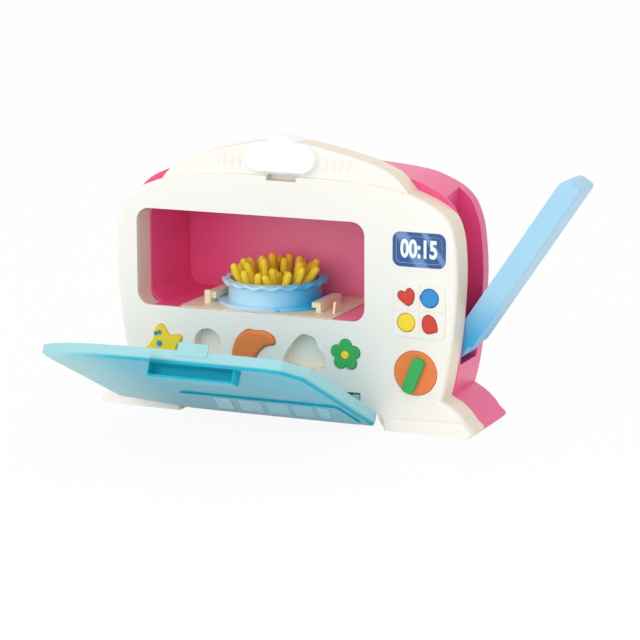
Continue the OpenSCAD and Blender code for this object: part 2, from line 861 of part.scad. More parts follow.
module flower_centre() {
    color(yellow) in_frame()
        translate([flower_at[0], -dough_out, flower_at[1]])
            rotate([-90, 0, 0])
                cylinder(r = 3.6, h = dough_out + 1);
}

module heart_dough() {
    color("#d62d20") in_frame()
        along_y(-panel_out - 1.6, mould_d - 2)
            polygon(heart_shape(dough_gap));
}

module strawberry_dough() {
    color("#d62d20") in_frame()
        along_y(-panel_out - 1.6, mould_d - 2)
            polygon(strawberry_shape(dough_gap));
}

module ball_dough(at, tint) {
    color(tint) in_frame()
        along_y(-panel_out - 1.6, mould_d - 2)
            translate(at)
                circle(ball_r - dough_gap);
}

module dial_dough_disc() {
    color("#e24b23") in_frame()
        along_y(-1.6, dial_d)
            translate(dial_at)
                circle(dial_r - dough_gap);
}

module dial_dough_bar() {
    color("#09a032") in_frame()
        along_y(-6.2, -1.6)
            translate(dial_at)
                rotate(-dial_bar_tilt)
                    polygon(round_rect(-5.2, 5.2, -17, 13.5, 3));
}

module casing_screw(s) {
    color(steel) in_frame()
        translate([s[0], screw_seat_y, s[1]])
            rotate([-90, 0, 0]) {
                difference() {
                    cylinder(r = screw_head_r, h = screw_head_h);
                    for (a = [0, 90])
                        rotate(a)
                            translate([-2, -0.4, screw_head_h - 1])
                                cube([4, 0.8, 2]);
                }
                translate([0, 0, -13])
                    cylinder(r = screw_r, h = 13 + eps);
            }
}

// ---- Door ---------------------------------------------------------------------------------

door_y0 = -door_gap - door_d;
lip_out = 1.2;
arm_half = hinge_slot_w / 2 - arm_clear;
lug_t = 2.6;                       // thickness of an arm's lug

door_foot_z = belly_z + 3;         // foot of the closed door
door_side_x = -half_w + 2;         // its left edge
door_cut = [[-half_w, 42], [-80, door_foot_z]];

// Rim of the closed door seen from the front, moved inwards by d. Its lower left corner
// is cut off so that it clears the foot as it opens.
module door_rim(d) {
    intersection() {
        polygon(inset(face_outline, 2 + d));
        polygon(round_rect(-half_w - 9, door_x1 - d, door_foot_z + d, front_top_z + 20, 14 - d));
        polygon(concat([for (p = door_cut) p + [d, d]],
            [[door_x1 + 5, belly_z], [door_x1 + 5, front_top_z - 32.7 - 1.5 * d],
            [door_x1 - 15, front_top_z - 6 - 1.5 * d], [0, front_top_z + 9], [-half_w, front_top_z]]));
    }
}

// Sloping flanks between the door's rim and its outer face: a line along the rim,
// counter-clockwise, and how far the outer face lies inside it.
door_flanks = [
    [[door_side_x, front_top_z], [door_side_x, 0], 15.5],
    [door_cut[0], door_cut[1], 8],
    [door_cut[1], [door_x1, door_foot_z], 6.4],
    [[door_x1, 0], [door_x1, front_top_z], 4]
];
flank_y = -door_gap - 2.4;         // depth at which a flank meets the rim's line

module flank_cut(a, b, s, d) {
    reach = 60;
    slope = s / (flank_y - door_y0);
    over = 2;
    translate([a[0], 0, a[1]])
        rotate([0, -atan2(b[1] - a[1], b[0] - a[0]), 0])
            translate([-reach, 0, 0])
                rotate([90, 0, 90])
                    linear_extrude(norm(b - a) + 2 * reach)
                        polygon([[flank_y + d + over, d - over * slope],
                            [door_y0 + d - reach / 6, s + d + slope * reach / 6],
                            [door_y0 + d - reach / 6, -reach], [flank_y + d + over, -reach]]);
}

// Body of the door, moved inwards by d, from depth y0 to depth y1.
module door_body(d, y0, y1) {
    difference() {
        along_y(y0, y1)
            door_rim(d);
        for (f = door_flanks)
            flank_cut(f[0], f[1], f[2], d);
    }
}

// Raised band along the foot of the door.
function lip_shape(d) = round_rect(-60 + d, door_x1 - 10 - d, 28 + d, 88 - d, 6 - d);

module door_pull() {
    difference() {
        along_y(door_y0 - 11, door_y0 + eps)
            polygon(round_rect(-pull_w / 2, pull_w / 2, front_top_z - 18, front_top_z - 3, 5));
        along_y(door_y0 - 11 + door_wall, door_y0 - eps)
            polygon(round_rect(-pull_w / 2 + door_wall, pull_w / 2 - door_wall,
                front_top_z - 18 + door_wall, front_top_z + 6, 4));
    }
}

// Arms on the hinge line, each with a lug that stands up in its slot when the door is open.
module door_arms() {
    for (side = [-1, 1])
        translate([side * hinge_x - arm_half, 0, hinge_z]) {
            translate([0, door_y0 + door_wall - eps, -1.4])
                cube([2 * arm_half, -door_y0 - door_wall + hinge_y, 3.6]);
            translate([0, hinge_y, 0])
                rotate([0, 90, 0])
                    cylinder(r = hinge_pin_r + 1.8, h = 2 * arm_half);
            translate([arm_half, hinge_y, 0])
                rotate([10 - door_open, 0, 0])
                    translate([0, -lug_t, 1])
                        cube([arm_half - 0.4, lug_t, 11.4]);
        }
}

module door() {
    color(turquoise, 0.6) in_frame()
        translate([0, hinge_y, hinge_z])
            rotate([door_open, 0, 0])
                translate([0, -hinge_y, -hinge_z])
                    difference() {
                        union() {
                            difference() {
                                door_body(0, door_y0, -door_gap);
                                door_body(door_wall, door_y0 + door_wall, 1);
                            }
                            along_y(door_y0 - lip_out, door_y0 + eps)
                                polygon(lip_shape(0));
                            translate([-12.5, -door_gap - 4, front_top_z - 3.4])
                                cube([25, 10, 2.2]);
                            door_pull();
                            door_arms();
                        }
                        along_y(door_y0 - lip_out + door_wall, door_y0 + door_wall + eps)
                            polygon(lip_shape(door_wall));
                        translate([-hinge_x - 20, hinge_y, hinge_z])
                            rotate([0, 90, 0])
                                cylinder(r = hinge_pin_r + run_gap, h = 2 * hinge_x + 40);
                    }
}

module hinge_pin(side) {
    color(steel) in_frame()
        translate([side * hinge_x - hinge_slot_w / 2 - 6.5, hinge_y, hinge_z])
            rotate([0, 90, 0])
                cylinder(r = hinge_pin_r, h = hinge_slot_w + 13);
}

// ---- Lever ----------------------------------------------------------------------------------

// Lever from the side, lying along +x with its inner face up.
lever_profile = concat(
    [[0, -hub_r], [10, -hub_r], [10, -lever_out], [lever_l - 2, -lever_out],
        [lever_l, -lever_out + 2]],
    arc(lever_l - 8, lever_in - 8, 8, 0, 90, 6),
    [[0, lever_in]]);

module lever() {
    rib_pitch = (lever_l - 30) / 4;
    color(blue) in_frame()
        translate([pivot_x, 0, pivot_z])
            rotate([0, -lever_rest, 0])
                difference() {
                    union() {
                        along_y(lever_y0, lever_y1) {
                            polygon(lever_profile);
                            circle(hub_r);
                        }
                    }
                    for (i = [0 : 3])
                        translate([16 + i * rib_pitch, lever_y0 + wall, -lever_out + wall])
                            cube([rib_pitch - 1.6, lever_y1 - lever_y0 - 2 * wall, lever_t]);
                    translate([0, lever_y0 - 1, 0])
                        rotate([-90, 0, 0])
                            cylinder(r = shaft_r, h = lever_y1 - lever_y0 + 2);
                }
}

module lever_shaft() {
    color(steel) in_frame()
        translate([pivot_x, shaft_y0, pivot_z])
            rotate([-90, 0, 0])
                cylinder(r = shaft_r, h = shaft_y1 - shaft_y0);
}

// Involute gear teeth: base circle at a 20 degree pressure angle.
pressure = 20;
base_r = gear_r * cos(pressure);
backlash = 0.3;
gear_teeth = 2 * gear_r / gear_module;
tip_r = gear_r + gear_module;
root_r = gear_r - 1.25 * gear_module;
function involute_angle(r) = let (t = sqrt(max(r * r / (base_r * base_r) - 1, 0)))
    t * 180 / PI - atan(t);
half_tooth = 90 / gear_teeth - backlash / 4 / gear_r * 180 / PI;
function flank_angle(r) = half_tooth + involute_angle(gear_r) - involute_angle(max(r, base_r));

function tooth_points(a) = let (rs = [root_r - 0.3, base_r, gear_r, (gear_r + tip_r) / 2, tip_r])
    concat([for (r = rs) r * [cos(a - flank_angle(r)), sin(a - flank_angle(r))]],
        [for (i = [4 : -1 : 0]) rs[i] * [cos(a + flank_angle(rs[i])), sin(a + flank_angle(rs[i]))]]);

first_tooth = 135;
tooth_step = 360 / gear_teeth;

module lever_gear() {
    color("#e9e6de") in_frame()
        difference() {
            along_y(rack_y0, rack_y0 + rack_t)
                translate([pivot_x, pivot_z]) {
                    circle(shaft_r + 1.5);
                    polygon(concat([[0, 0]],
                        arc(0, 0, root_r, first_tooth - 7, first_tooth + 7 * tooth_step + 7, 14)));
                    for (i = [0 : 7])
                        polygon(tooth_points(first_tooth + i * tooth_step));
                }
            translate([pivot_x, rack_y0 - 1, pivot_z])
                rotate([-90, 0, 0])
                    cylinder(r = shaft_r, h = rack_t + 2);
        }
}

// ---- Lift carriage and piston -----------------------------------------------------------------

tooth_pitch = PI * gear_module;

// Rack teeth stand on the pivot side; a gap faces the gear's tooth at 180 degrees.
module rack_shape() {
    add = gear_module;
    ded = 1.25 * gear_module;
    half = tooth_pitch / 4 - backlash / 4;
    translate([rack_back_x, arm_z0 + arm_h / 2])
        square([rack_pitch_x - ded - rack_back_x, rack_top_z - arm_z0 - arm_h / 2]);
    for (i = [-6 : 5])
        translate([rack_pitch_x, pivot_z + (i + 0.5) * tooth_pitch])
            polygon([[-ded - 0.1, -half - (ded + 0.1) * tan(pressure)], [add, -half + add * tan(pressure)],
                [add, half - add * tan(pressure)], [-ded - 0.1, half + (ded + 0.1) * tan(pressure)]]);
}

module lift_carriage() {
    arm_end = rack_pitch_x - 3;
    color("#e9e6de") in_frame() difference() {
        union() {
            translate([post_xs[0] - 9, pan_y - arm_w / 2, arm_z0])
                cube([arm_end - post_xs[0] + 9, arm_w, arm_h]);
            translate([rack_back_x - 5, pan_y - arm_w / 2, arm_z0])
                cube([arm_end - rack_back_x + 5, rack_y0 + rack_t - pan_y + arm_w / 2, arm_h]);
            along_y(rack_y0, rack_y0 + rack_t)
                rack_shape();
            translate([pan_x, pan_y, arm_z0 + arm_h - eps])
                cylinder(r = stem_r, h = piston_z - arm_z0 - arm_h + eps);
        }
        for (x = post_xs)
            translate([x, pan_y, arm_z0 - 1])
                cylinder(r = post_r + run_gap, h = arm_h + 2);
        translate([pan_x, pan_y, piston_z - 14])
            cylinder(r = 2, h = 15);
    }
}

module piston_head() {
    color("#f2efe8") in_frame()
        translate([pan_x, pan_y, piston_z])
            difference() {
                cylinder(r = piston_r, h = piston_h);
                translate([0, 0, piston_h - 3])
                    cylinder(r = 4.3, h = 4);
                translate([0, 0, -1])
                    cylinder(r = 2.2, h = piston_h + 2);
            }
}

module piston_screw() {
    color(steel) in_frame()
        translate([pan_x, pan_y, piston_z]) {
            translate([0, 0, -13])
                cylinder(r = 2, h = piston_h + 10 + eps);
            translate([0, 0, piston_h - 3])
                cylinder(r = 3.8, h = 2.6);
        }
}

// ---- Pan, die and strands ------------------------------------------------------------------------

module pan() {
    scallops = 18;
    color(blue) in_frame() translate([pan_x, pan_y, pan_z]) difference() {
        union() {
            cylinder(r = pan_flange_r, h = pan_flange_t);
            translate([ear_x0, -15, 0])
                cube([ear_x1 - ear_x0, 30, pan_flange_t]);
            cylinder(r = pan_r, h = pan_h - 1);
            translate([0, 0, pan_h - 3])
                linear_extrude(3)
                    polygon([for (i = [0 : 107]) let (a = i * 10 / 3)
                        (rim_r - 0.7 + 0.7 * cos(scallops * a)) * [cos(a), sin(a)]]);
        }
        translate([0, 0, pan_flange_t])
            cylinder(r = pan_r - pan_wall_t, h = pan_h);
        translate([0, 0, -1])
            cylinder(r = dough_pad_r + 0.2, h = pan_h);
        rotate(-63)
            translate([pan_flange_r - 3, -1.5, -1])
                cube([4, 3, pan_flange_t + 2]);
    }
}

// Places of the strands: one in the middle and three rings round it.
strand_rings = [[0, 1], [9.6, 6], [19.2, 12], [28.6, 17]];
strand_spots = [for (k = [0 : 3], i = [0 : strand_rings[k][1] - 1])
    let (a = i * 360 / strand_rings[k][1] + k * 11)
    [strand_rings[k][0] * cos(a), strand_rings[k][0] * sin(a), a, k, i]];

module die_plate() {
    color(blue) in_frame() translate([pan_x, pan_y, die_z]) difference() {
        cylinder(r = pan_r - pan_wall_t - 0.1, h = die_t);
        for (s = strand_spots)
            translate([s[0], s[1], -1])
                cylinder(r = die_hole_r, h = die_t + 2, $fn = 24);
    }
}

module fries_dough() {
    color(yellow) in_frame() translate([pan_x, pan_y, pan_z]) {
        translate([0, 0, 0.4])
            cylinder(r = dough_pad_r, h = die_z - pan_z - 0.5);
        for (s = strand_spots)
            translate([s[0], s[1], die_z - pan_z - 1])
                cylinder(r = strand_r, h = die_t + 1 + strand_l + 3 * sin(71 * s[4] + 40 * s[3]));
    }
}

// ---- Drawing ------------------------------------------------------------------------------------------

front_casing();
crown_cover();
crown_plate();
rear_casing();
oven_liner();
platform();
dough_cylinder();
guide_post(post_xs[0]);  // guide_post_left
guide_post(post_xs[1]);  // guide_post_right
timer_label();
button_panel();
star_dough();
star_dots();
croissant_dough();
flower_petals();
flower_centre();
heart_dough();
ball_dough(panel_mid + panel_cell, "#1f86cf");  // blue_ball_dough
ball_dough(panel_mid - panel_cell, yellow);  // yellow_ball_dough
strawberry_dough();
dial_dough_disc();
dial_dough_bar();
casing_screw(screw_spots[0]);  // casing_screw_1
casing_screw(screw_spots[1]);  // casing_screw_2
casing_screw(screw_spots[2]);  // casing_screw_3
casing_screw(screw_spots[3]);  // casing_screw_4
casing_screw(screw_spots[4]);  // casing_screw_5
casing_screw(screw_spots[5]);  // casing_screw_6
hinge_pin(-1);  // hinge_pin_left
hinge_pin(1);  // hinge_pin_right
door();
lever();
lever_shaft();
lever_gear();
lift_carriage();
piston_head();
piston_screw();
pan();
die_plate();
fries_dough();
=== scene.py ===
import math
import random

import bmesh
import bpy
from mathutils import Matrix, Vector


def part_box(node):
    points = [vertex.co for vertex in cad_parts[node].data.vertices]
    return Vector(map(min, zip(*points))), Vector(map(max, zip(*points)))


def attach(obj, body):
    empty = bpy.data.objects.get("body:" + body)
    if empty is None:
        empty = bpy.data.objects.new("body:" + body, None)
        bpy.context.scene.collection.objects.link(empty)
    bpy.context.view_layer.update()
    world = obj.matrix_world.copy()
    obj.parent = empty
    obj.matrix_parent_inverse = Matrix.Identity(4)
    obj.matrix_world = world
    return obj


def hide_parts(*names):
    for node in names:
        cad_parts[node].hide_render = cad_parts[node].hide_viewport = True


bl_info = {
    "name": "Toy Dough Oven",
    "version": (1, 0, 0),
    "blender": (4, 5, 0),
    "location": "View3D > Sidebar > Toy Oven",
    "description": "Dresses the packed toy oven with moulded plastic, dough pieces, labels and a studio",
    "category": "Add Mesh",
}

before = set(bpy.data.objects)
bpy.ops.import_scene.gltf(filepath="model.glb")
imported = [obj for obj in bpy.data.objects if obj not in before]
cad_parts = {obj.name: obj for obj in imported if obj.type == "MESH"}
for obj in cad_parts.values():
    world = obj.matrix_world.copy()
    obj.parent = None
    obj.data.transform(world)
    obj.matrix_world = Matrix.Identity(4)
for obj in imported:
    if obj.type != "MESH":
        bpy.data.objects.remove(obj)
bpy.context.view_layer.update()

MM = 0.001
FACE_Y = -0.0755         # the white front face in the shared frame
HINGE = Vector((0.0, FACE_Y + 3.5 * MM, 14 * MM))
DOOR_OPEN = math.radians(64.4)
PIVOT = Vector((137 * MM, 0.0, 64 * MM))
LEVER_REST = math.radians(56)
PAN = Vector((-28 * MM, FACE_Y + 50 * MM, 0.0))
PAN_TOP = 107.1 * MM
DIE_TOP = 102.1 * MM
SCALLOPS = 18
STRAND_RINGS = ((0.0, 1), (9.6, 6), (19.2, 12), (28.6, 17))   # distance in mm, and count
TIMER = Vector((118.7 * MM, FACE_Y, 147.6 * MM))
DOUBLED = 0.01 * MM      # corners nearer than this are one corner
RIM_FOOT = 13 * MM       # the front rim is rounded above this height
CROWN_HALF = 104 * MM    # half the width of the crown where it stands on the front
BODY_DEPTH = 78          # depth of the casing's back, without its bulge, in mm
DOOR_FRONT = -11.0       # depth of the shut door's outer face in mm

# Areas on the front and on the shut door: left, right, bottom and top in mm.
WINDOW = (-131, 74, 84, 168)
MOULDS = (-128, 72, 33, 73)
CONTROLS = (94, 143, 26, 165)
LATCH_SLOT = (-14, 14, 194, 250)
DOOR_BAND = (-62, 80, 26, 90)
DOOR_PULL = (-40, 40, 178, 199)
BAND_WINDOWS = ((-30, 14), (-9.7, 20), (14.4, 19), (37.5, 17), (58.5, 10))   # left, width in mm
WINDOW_SLANT = 0.3       # sideways lean of the band's windows for each mm of height


# ---- Sizes and colours that a user would change ------------------------------------------


class OvenLooks(bpy.types.PropertyGroup):
    edge: bpy.props.FloatProperty(
        name="Edge rounding", description="Radius of the small moulded edges",
        default=0.8 * MM, min=0.2 * MM, max=1.5 * MM, unit="LENGTH")
    shell_edge: bpy.props.FloatProperty(
        name="Shell rounding", description="Radius of the front casing's outer edge",
        default=4.5 * MM, min=1 * MM, max=6 * MM, unit="LENGTH")
    white: bpy.props.FloatVectorProperty(
        name="White", description="Colour of the front casing",
        subtype="COLOR", size=3, default=(0.93, 0.895, 0.83))
    pink: bpy.props.FloatVectorProperty(
        name="Pink", description="Colour of the rear casing",
        subtype="COLOR", size=3, default=(0.88, 0.09, 0.27))
    magenta: bpy.props.FloatVectorProperty(
        name="Deep pink", description="Colour of the cavity liner",
        subtype="COLOR", size=3, default=(0.96, 0.105, 0.31))
    # Painted light: this paler pink stands in for reflected light on the right of the cavity.
    lit_pink: bpy.props.FloatVectorProperty(
        name="Lit pink", description="Colour of the cavity liner towards the right",
        subtype="COLOR", size=3, default=(1.0, 0.26, 0.44))
    cream: bpy.props.FloatVectorProperty(
        name="Cream", description="Colour of the platform",
        subtype="COLOR", size=3, default=(0.90, 0.82, 0.58))
    # Painted light: the pale arm colour stands in for light falling on the arm; the root colour is the
    # lever's own blue.
    lever_blue_lit_arm: bpy.props.FloatVectorProperty(
        name="Lever lit arm blue", description="Pale colour of the lever's arm",
        subtype="COLOR", size=3, default=(0.36, 0.65, 0.84))
    lever_root: bpy.props.FloatVectorProperty(
        name="Lever root", description="Deeper colour of the lever's foot",
        subtype="COLOR", size=3, default=(0.02, 0.38, 0.75))
    pan_blue: bpy.props.FloatVectorProperty(
        name="Pan blue", description="Colour of the pan",
        subtype="COLOR", size=3, default=(0.03, 0.52, 0.92))
    pan_pale: bpy.props.FloatVectorProperty(
        name="Pale pan blue", description="Colour of the pan where the light falls on it",
        subtype="COLOR", size=3, default=(0.55, 0.82, 0.98))
    # Painted shade: this warm colour stands in for the shade on the white walls of the window, the
    # moulds and the rim that run back from the face.
    reveal: bpy.props.FloatVectorProperty(
        name="Painted wall shade", description="Warm colour of the front casing away from its face",
        subtype="COLOR", size=3, default=(0.88, 0.77, 0.60))
    turquoise: bpy.props.FloatVectorProperty(
        name="Turquoise", description="Deep colour near the door's outer face",
        subtype="COLOR", size=3, default=(0.02, 0.50, 0.66))
    pale_turquoise: bpy.props.FloatVectorProperty(
        name="Pale turquoise", description="Pale colour of the rest of the door",
        subtype="COLOR", size=3, default=(0.44, 0.77, 0.81))
    yellow: bpy.props.FloatVectorProperty(
        name="Yellow", description="Colour of the yellow dough",
        subtype="COLOR", size=3, default=(1.0, 0.61, 0.002))
    orange: bpy.props.FloatVectorProperty(
        name="Orange", description="Colour of the orange dough",
        subtype="COLOR", size=3, default=(0.86, 0.10, 0.004))
    red: bpy.props.FloatVectorProperty(
        name="Red", description="Colour of the red dough",
        subtype="COLOR", size=3, default=(0.66, 0.026, 0.013))
    green: bpy.props.FloatVectorProperty(
        name="Green", description="Colour of the green dough",
        subtype="COLOR", size=3, default=(0.012, 0.31, 0.07))
    blue: bpy.props.FloatVectorProperty(
        name="Blue", description="Colour of the blue dough",
        subtype="COLOR", size=3, default=(0.01, 0.22, 0.60))


def looks():
    return bpy.context.scene.toy_oven


# ---- Node helpers ---------------------------------------------------------------------------


def rgba(colour):
    return (colour[0], colour[1], colour[2], 1.0)


def feed(tree, socket, value):
    """Links another node's socket to this one, or sets it to a number or a colour."""
    if isinstance(value, bpy.types.NodeSocket):
        tree.links.new(value, socket)
    else:
        socket.default_value = value


def calculate(tree, operation, *values):
    """The result of a Math node whose inputs are numbers or sockets."""
    node = tree.nodes.new("ShaderNodeMath")
    node.operation = operation
    for socket, value in zip(node.inputs, values):
        feed(tree, socket, value)
    return node.outputs[0]


def dot(tree, vector, direction):
    """How far a vector reaches along a direction."""
    node = tree.nodes.new("ShaderNodeVectorMath")
    node.operation = "DOT_PRODUCT"
    tree.links.new(vector, node.inputs[0])
    node.inputs[1].default_value = direction
    return node.outputs["Value"]


def spread(tree, value, low, high, to_low=0.0, to_high=1.0, soft=False):
    """Maps low to high onto to_low to to_high, with soft ends where soft is true."""
    node = tree.nodes.new("ShaderNodeMapRange")
    if soft:
        node.interpolation_type = "SMOOTHSTEP"
    feed(tree, node.inputs["From Min"], low)
    feed(tree, node.inputs["From Max"], high)
    feed(tree, node.inputs["To Min"], to_low)
    feed(tree, node.inputs["To Max"], to_high)
    feed(tree, node.inputs["Value"], value)
    return node.outputs["Result"]


def coordinate(tree, kind):
    return tree.nodes.new("ShaderNodeTexCoord").outputs[kind]


def component(tree, kind, axis):
    """One axis of the object's own coordinates or of its surface direction."""
    split = tree.nodes.new("ShaderNodeSeparateXYZ")
    tree.links.new(coordinate(tree, kind), split.inputs[0])
    return split.outputs[axis]


def noise(tree, coord, scale, detail):
    node = tree.nodes.new("ShaderNodeTexNoise")
    node.inputs["Scale"].default_value = scale
    node.inputs["Detail"].default_value = detail
    tree.links.new(coord, node.inputs["Vector"])
    return node


def bump(tree, height, strength, distance):
    node = tree.nodes.new("ShaderNodeBump")
    node.inputs["Distance"].default_value = distance
    tree.links.new(strength, node.inputs["Strength"])
    tree.links.new(height, node.inputs["Height"])
    return node.outputs["Normal"]


def new_finish(name, inputs):
    """An empty finish group with its inputs, and with colour, roughness and normal as outputs."""
    group = bpy.data.node_groups.new(name, "ShaderNodeTree")
    for label, kind, value in inputs:
        socket = group.interface.new_socket(label, in_out="INPUT", socket_type=kind)
        socket.default_value = value
    for label, kind in (("Colour", "NodeSocketColor"), ("Roughness", "NodeSocketFloat"),
                        ("Normal", "NodeSocketVector")):
        group.interface.new_socket(label, in_out="OUTPUT", socket_type=kind)
    return group, group.nodes.new("NodeGroupInput"), group.nodes.new("NodeGroupOutput")


# ---- Finishes and materials -----------------------------------------------------------------


def moulded_group():
    """Moulded plastic: faint flow mottle, a fine grain and slightly uneven gloss."""
    name = "moulded_finish"
    if name in bpy.data.node_groups:
        return bpy.data.node_groups[name]
    group, inp, out = new_finish(name, [
        ("Colour", "NodeSocketColor", (0.8, 0.8, 0.8, 1)), ("Mottle", "NodeSocketFloat", 0.06),
        ("Gloss", "NodeSocketFloat", 0.3), ("Grain", "NodeSocketFloat", 0.05)])
    coord = coordinate(group, "Object")
    flow = noise(group, coord, 28, 3).outputs["Fac"]
    darkest = calculate(group, "SUBTRACT", 1.0, inp.outputs["Mottle"])
    tint = group.nodes.new("ShaderNodeVectorMath")
    tint.operation = "SCALE"
    group.links.new(inp.outputs["Colour"], tint.inputs[0])
    group.links.new(spread(group, flow, 0.3, 0.7, darkest), tint.inputs["Scale"])
    group.links.new(tint.outputs["Vector"], out.inputs["Colour"])
    gloss = calculate(group, "MULTIPLY_ADD", flow, 0.16, inp.outputs["Gloss"])
    group.links.new(gloss, out.inputs["Roughness"])
    fine = noise(group, coord, 900, 4).outputs["Fac"]
    grain = bump(group, fine, inp.outputs["Grain"], 0.15 * MM)
    group.links.new(grain, out.inputs["Normal"])
    return group


def dough_group():
    """Soft dough: small dents, a crumbly surface and a paler bloom on the high spots."""
    name = "dough_finish"
    if name in bpy.data.node_groups:
        return bpy.data.node_groups[name]
    group, inp, out = new_finish(name, [
        ("Colour", "NodeSocketColor", (0.8, 0.5, 0.1, 1)), ("Bloom", "NodeSocketFloat", 0.12),
        ("Dent", "NodeSocketFloat", 0.35)])
    coord = coordinate(group, "Object")
    lumpy = noise(group, coord, 150, 5)
    lumpy.inputs["Roughness"].default_value = 0.6
    lumps = lumpy.outputs["Fac"]
    crumbs = group.nodes.new("ShaderNodeTexVoronoi")
    crumbs.inputs["Scale"].default_value = 900
    group.links.new(coord, crumbs.inputs["Vector"])
    pale = group.nodes.new("ShaderNodeMix")
    pale.data_type = "RGBA"
    pale.blend_type = "SCREEN"
    bloom = calculate(group, "MULTIPLY", lumps, inp.outputs["Bloom"])
    group.links.new(bloom, pale.inputs["Factor"])
    group.links.new(inp.outputs["Colour"], pale.inputs["A"])
    pale.inputs["B"].default_value = (0.9, 0.85, 0.8, 1)
    group.links.new(pale.outputs["Result"], out.inputs["Colour"])
    group.links.new(spread(group, lumps, 0, 1, 0.42, 0.68), out.inputs["Roughness"])
    height = calculate(group, "MULTIPLY_ADD", crumbs.outputs["Distance"], 0.12, lumps)
    dents = bump(group, height, inp.outputs["Dent"], 0.9 * MM)
    group.links.new(dents, out.inputs["Normal"])
    return group


def material_with(name, group, values, shader=()):
    """A material whose Principled BSDF is fed by one finish group."""
    found = bpy.data.materials.get(name)
    if found:
        return found
    mat = bpy.data.materials.new(name)
    mat.use_nodes = True
    tree = mat.node_tree
    bsdf = tree.nodes["Principled BSDF"]
    finish = tree.nodes.new("ShaderNodeGroup")
    finish.name = "finish"
    finish.node_tree = group
    for key, value in values.items():
        finish.inputs[key].default_value = value
    tree.links.new(finish.outputs["Colour"], bsdf.inputs["Base Color"])
    tree.links.new(finish.outputs["Roughness"], bsdf.inputs["Roughness"])
    tree.links.new(finish.outputs["Normal"], bsdf.inputs["Normal"])
    for key, value in dict(shader).items():
        bsdf.inputs[key].default_value = value
    mat.diffuse_color = values["Colour"]
    return mat


def grade(mat, start, end, share):
    """Lets the colour go from start to end as the share goes from 0 to 1."""
    tree = mat.node_tree
    mix = tree.nodes.new("ShaderNodeMix")
    mix.name = "grade"
    mix.data_type = "RGBA"
    mix.inputs["A"].default_value = rgba(start)
    mix.inputs["B"].default_value = rgba(end)
    tree.links.new(share, mix.inputs["Factor"])
    tree.links.new(mix.outputs["Result"], tree.nodes["finish"].inputs["Colour"])


def plastic(name, colour, gloss=0.22, mottle=0.05, grain=0.05, shader=()):
    return material_with(name, moulded_group(), {
        "Colour": rgba(colour), "Gloss": gloss, "Mottle": mottle, "Grain": grain}, shader)


def graded_plastic(name, start, end, axis, low, high, gloss=0.2, mottle=0.03, grain=0.02,
                   shader=()):
    """Plastic that goes from one colour to another along an axis, between two places in metres."""
    mat = plastic(name, start, gloss, mottle, grain, shader)
    tree = mat.node_tree
    if "grade" not in tree.nodes:
        place = component(tree, "Object", axis)
        grade(mat, start, end, spread(tree, place, low, high, soft=True))
    return mat


def display_material():
    """Printed display: deep blue with two pale diagonal glints."""
    mat = bpy.data.materials.new("display_blue")
    mat.use_nodes = True
    tree = mat.node_tree
    middle = tree.nodes.new("ShaderNodeMapping")
    middle.inputs["Location"].default_value = (-TIMER.x, 0, -TIMER.z)
    tree.links.new(coordinate(tree, "Object"), middle.inputs["Vector"])
    across = dot(tree, middle.outputs["Vector"], (0.82, 0, 0.57))
    ramp = tree.nodes.new("ShaderNodeValToRGB")
    deep = (0.016, 0.10, 0.30, 1)
    glint = (0.12, 0.28, 0.52, 1)
    stops = ramp.color_ramp.elements
    stops[0].color = deep
    stops[1].color = deep
    stops[1].position = 0.28
    for position, colour in ((0.34, glint), (0.46, glint), (0.50, deep), (0.66, deep),
                             (0.69, glint), (0.74, glint), (0.77, deep)):
        stops.new(position).color = colour
    tree.links.new(spread(tree, across, -26 * MM, 26 * MM), ramp.inputs["Fac"])
    bsdf = tree.nodes["Principled BSDF"]
    tree.links.new(ramp.outputs["Color"], bsdf.inputs["Base Color"])
    bsdf.inputs["Roughness"].default_value = 0.25
    mat.diffuse_color = deep
    return mat


def dough(name, colour):
    return material_with(
        name, dough_group(), {"Colour": rgba(colour), "Bloom": 0.012, "Dent": 0.4},
        {"Subsurface Weight": 0.06, "Subsurface Radius": (0.004, 0.002, 0.001),
         "Sheen Weight": 0.03})


def white_plastic():
    """White on faces that look forward, with painted warm shade on walls that run back from the front.
    """
    # Painted shade: walls that run back from the face turn warmer and darker with depth.
    mat = graded_plastic(
        "white_shell", looks().white, looks().reveal, "Y", FACE_Y + 1 * MM, FACE_Y + 7 * MM,
        0.24, 0.02,
        shader={"Subsurface Weight": 0.05, "Subsurface Radius": (0.006, 0.004, 0.003)})
    tree = mat.node_tree
    if "walls" in tree.nodes:
        return mat
    facing = calculate(tree, "ABSOLUTE", component(tree, "Normal", "Y"))
    wall_share = spread(tree, facing, 0.5, 0.9, 1, 0)
    wall_share.node.name = "walls"
    factor = tree.nodes["grade"].inputs["Factor"]
    depth_share = factor.links[0].from_socket
    tree.links.new(calculate(tree, "MULTIPLY", depth_share, wall_share), factor)
    return mat


def door_material(name, pale, deep, shader):
    """Clear turquoise: deep near the outer face, pale behind it and towards the left end."""
    mat = plastic(name, pale, 0.08, 0.02, 0.0, shader)
    tree = mat.node_tree
    if "grade" in tree.nodes:
        return mat
    from_hinge = tree.nodes.new("ShaderNodeVectorMath")
    from_hinge.operation = "SUBTRACT"
    tree.links.new(coordinate(tree, "Object"), from_hinge.inputs[0])
    from_hinge.inputs[1].default_value = HINGE
    through = dot(tree, from_hinge.outputs["Vector"],
                  (0, math.cos(DOOR_OPEN), math.sin(DOOR_OPEN)))
    hinge_depth = depth(HINGE) * MM
    behind = spread(tree, through, (DOOR_FRONT + 1.6) * MM - hinge_depth,
                    (DOOR_FRONT + 4.2) * MM - hinge_depth, soft=True)
    along = spread(tree, component(tree, "Object", "X"), -135 * MM, -50 * MM, soft=True)
    outside = calculate(tree, "SUBTRACT", 1.0, behind)
    grade(mat, pale, deep, calculate(tree, "MULTIPLY", outside, along))
    return mat


def steel():
    return plastic("bright_steel", (0.55, 0.56, 0.58), 0.25, 0.05, 0.1, {"Metallic": 1.0})


# ---- Mesh helpers ------------------------------------------------------------------------------


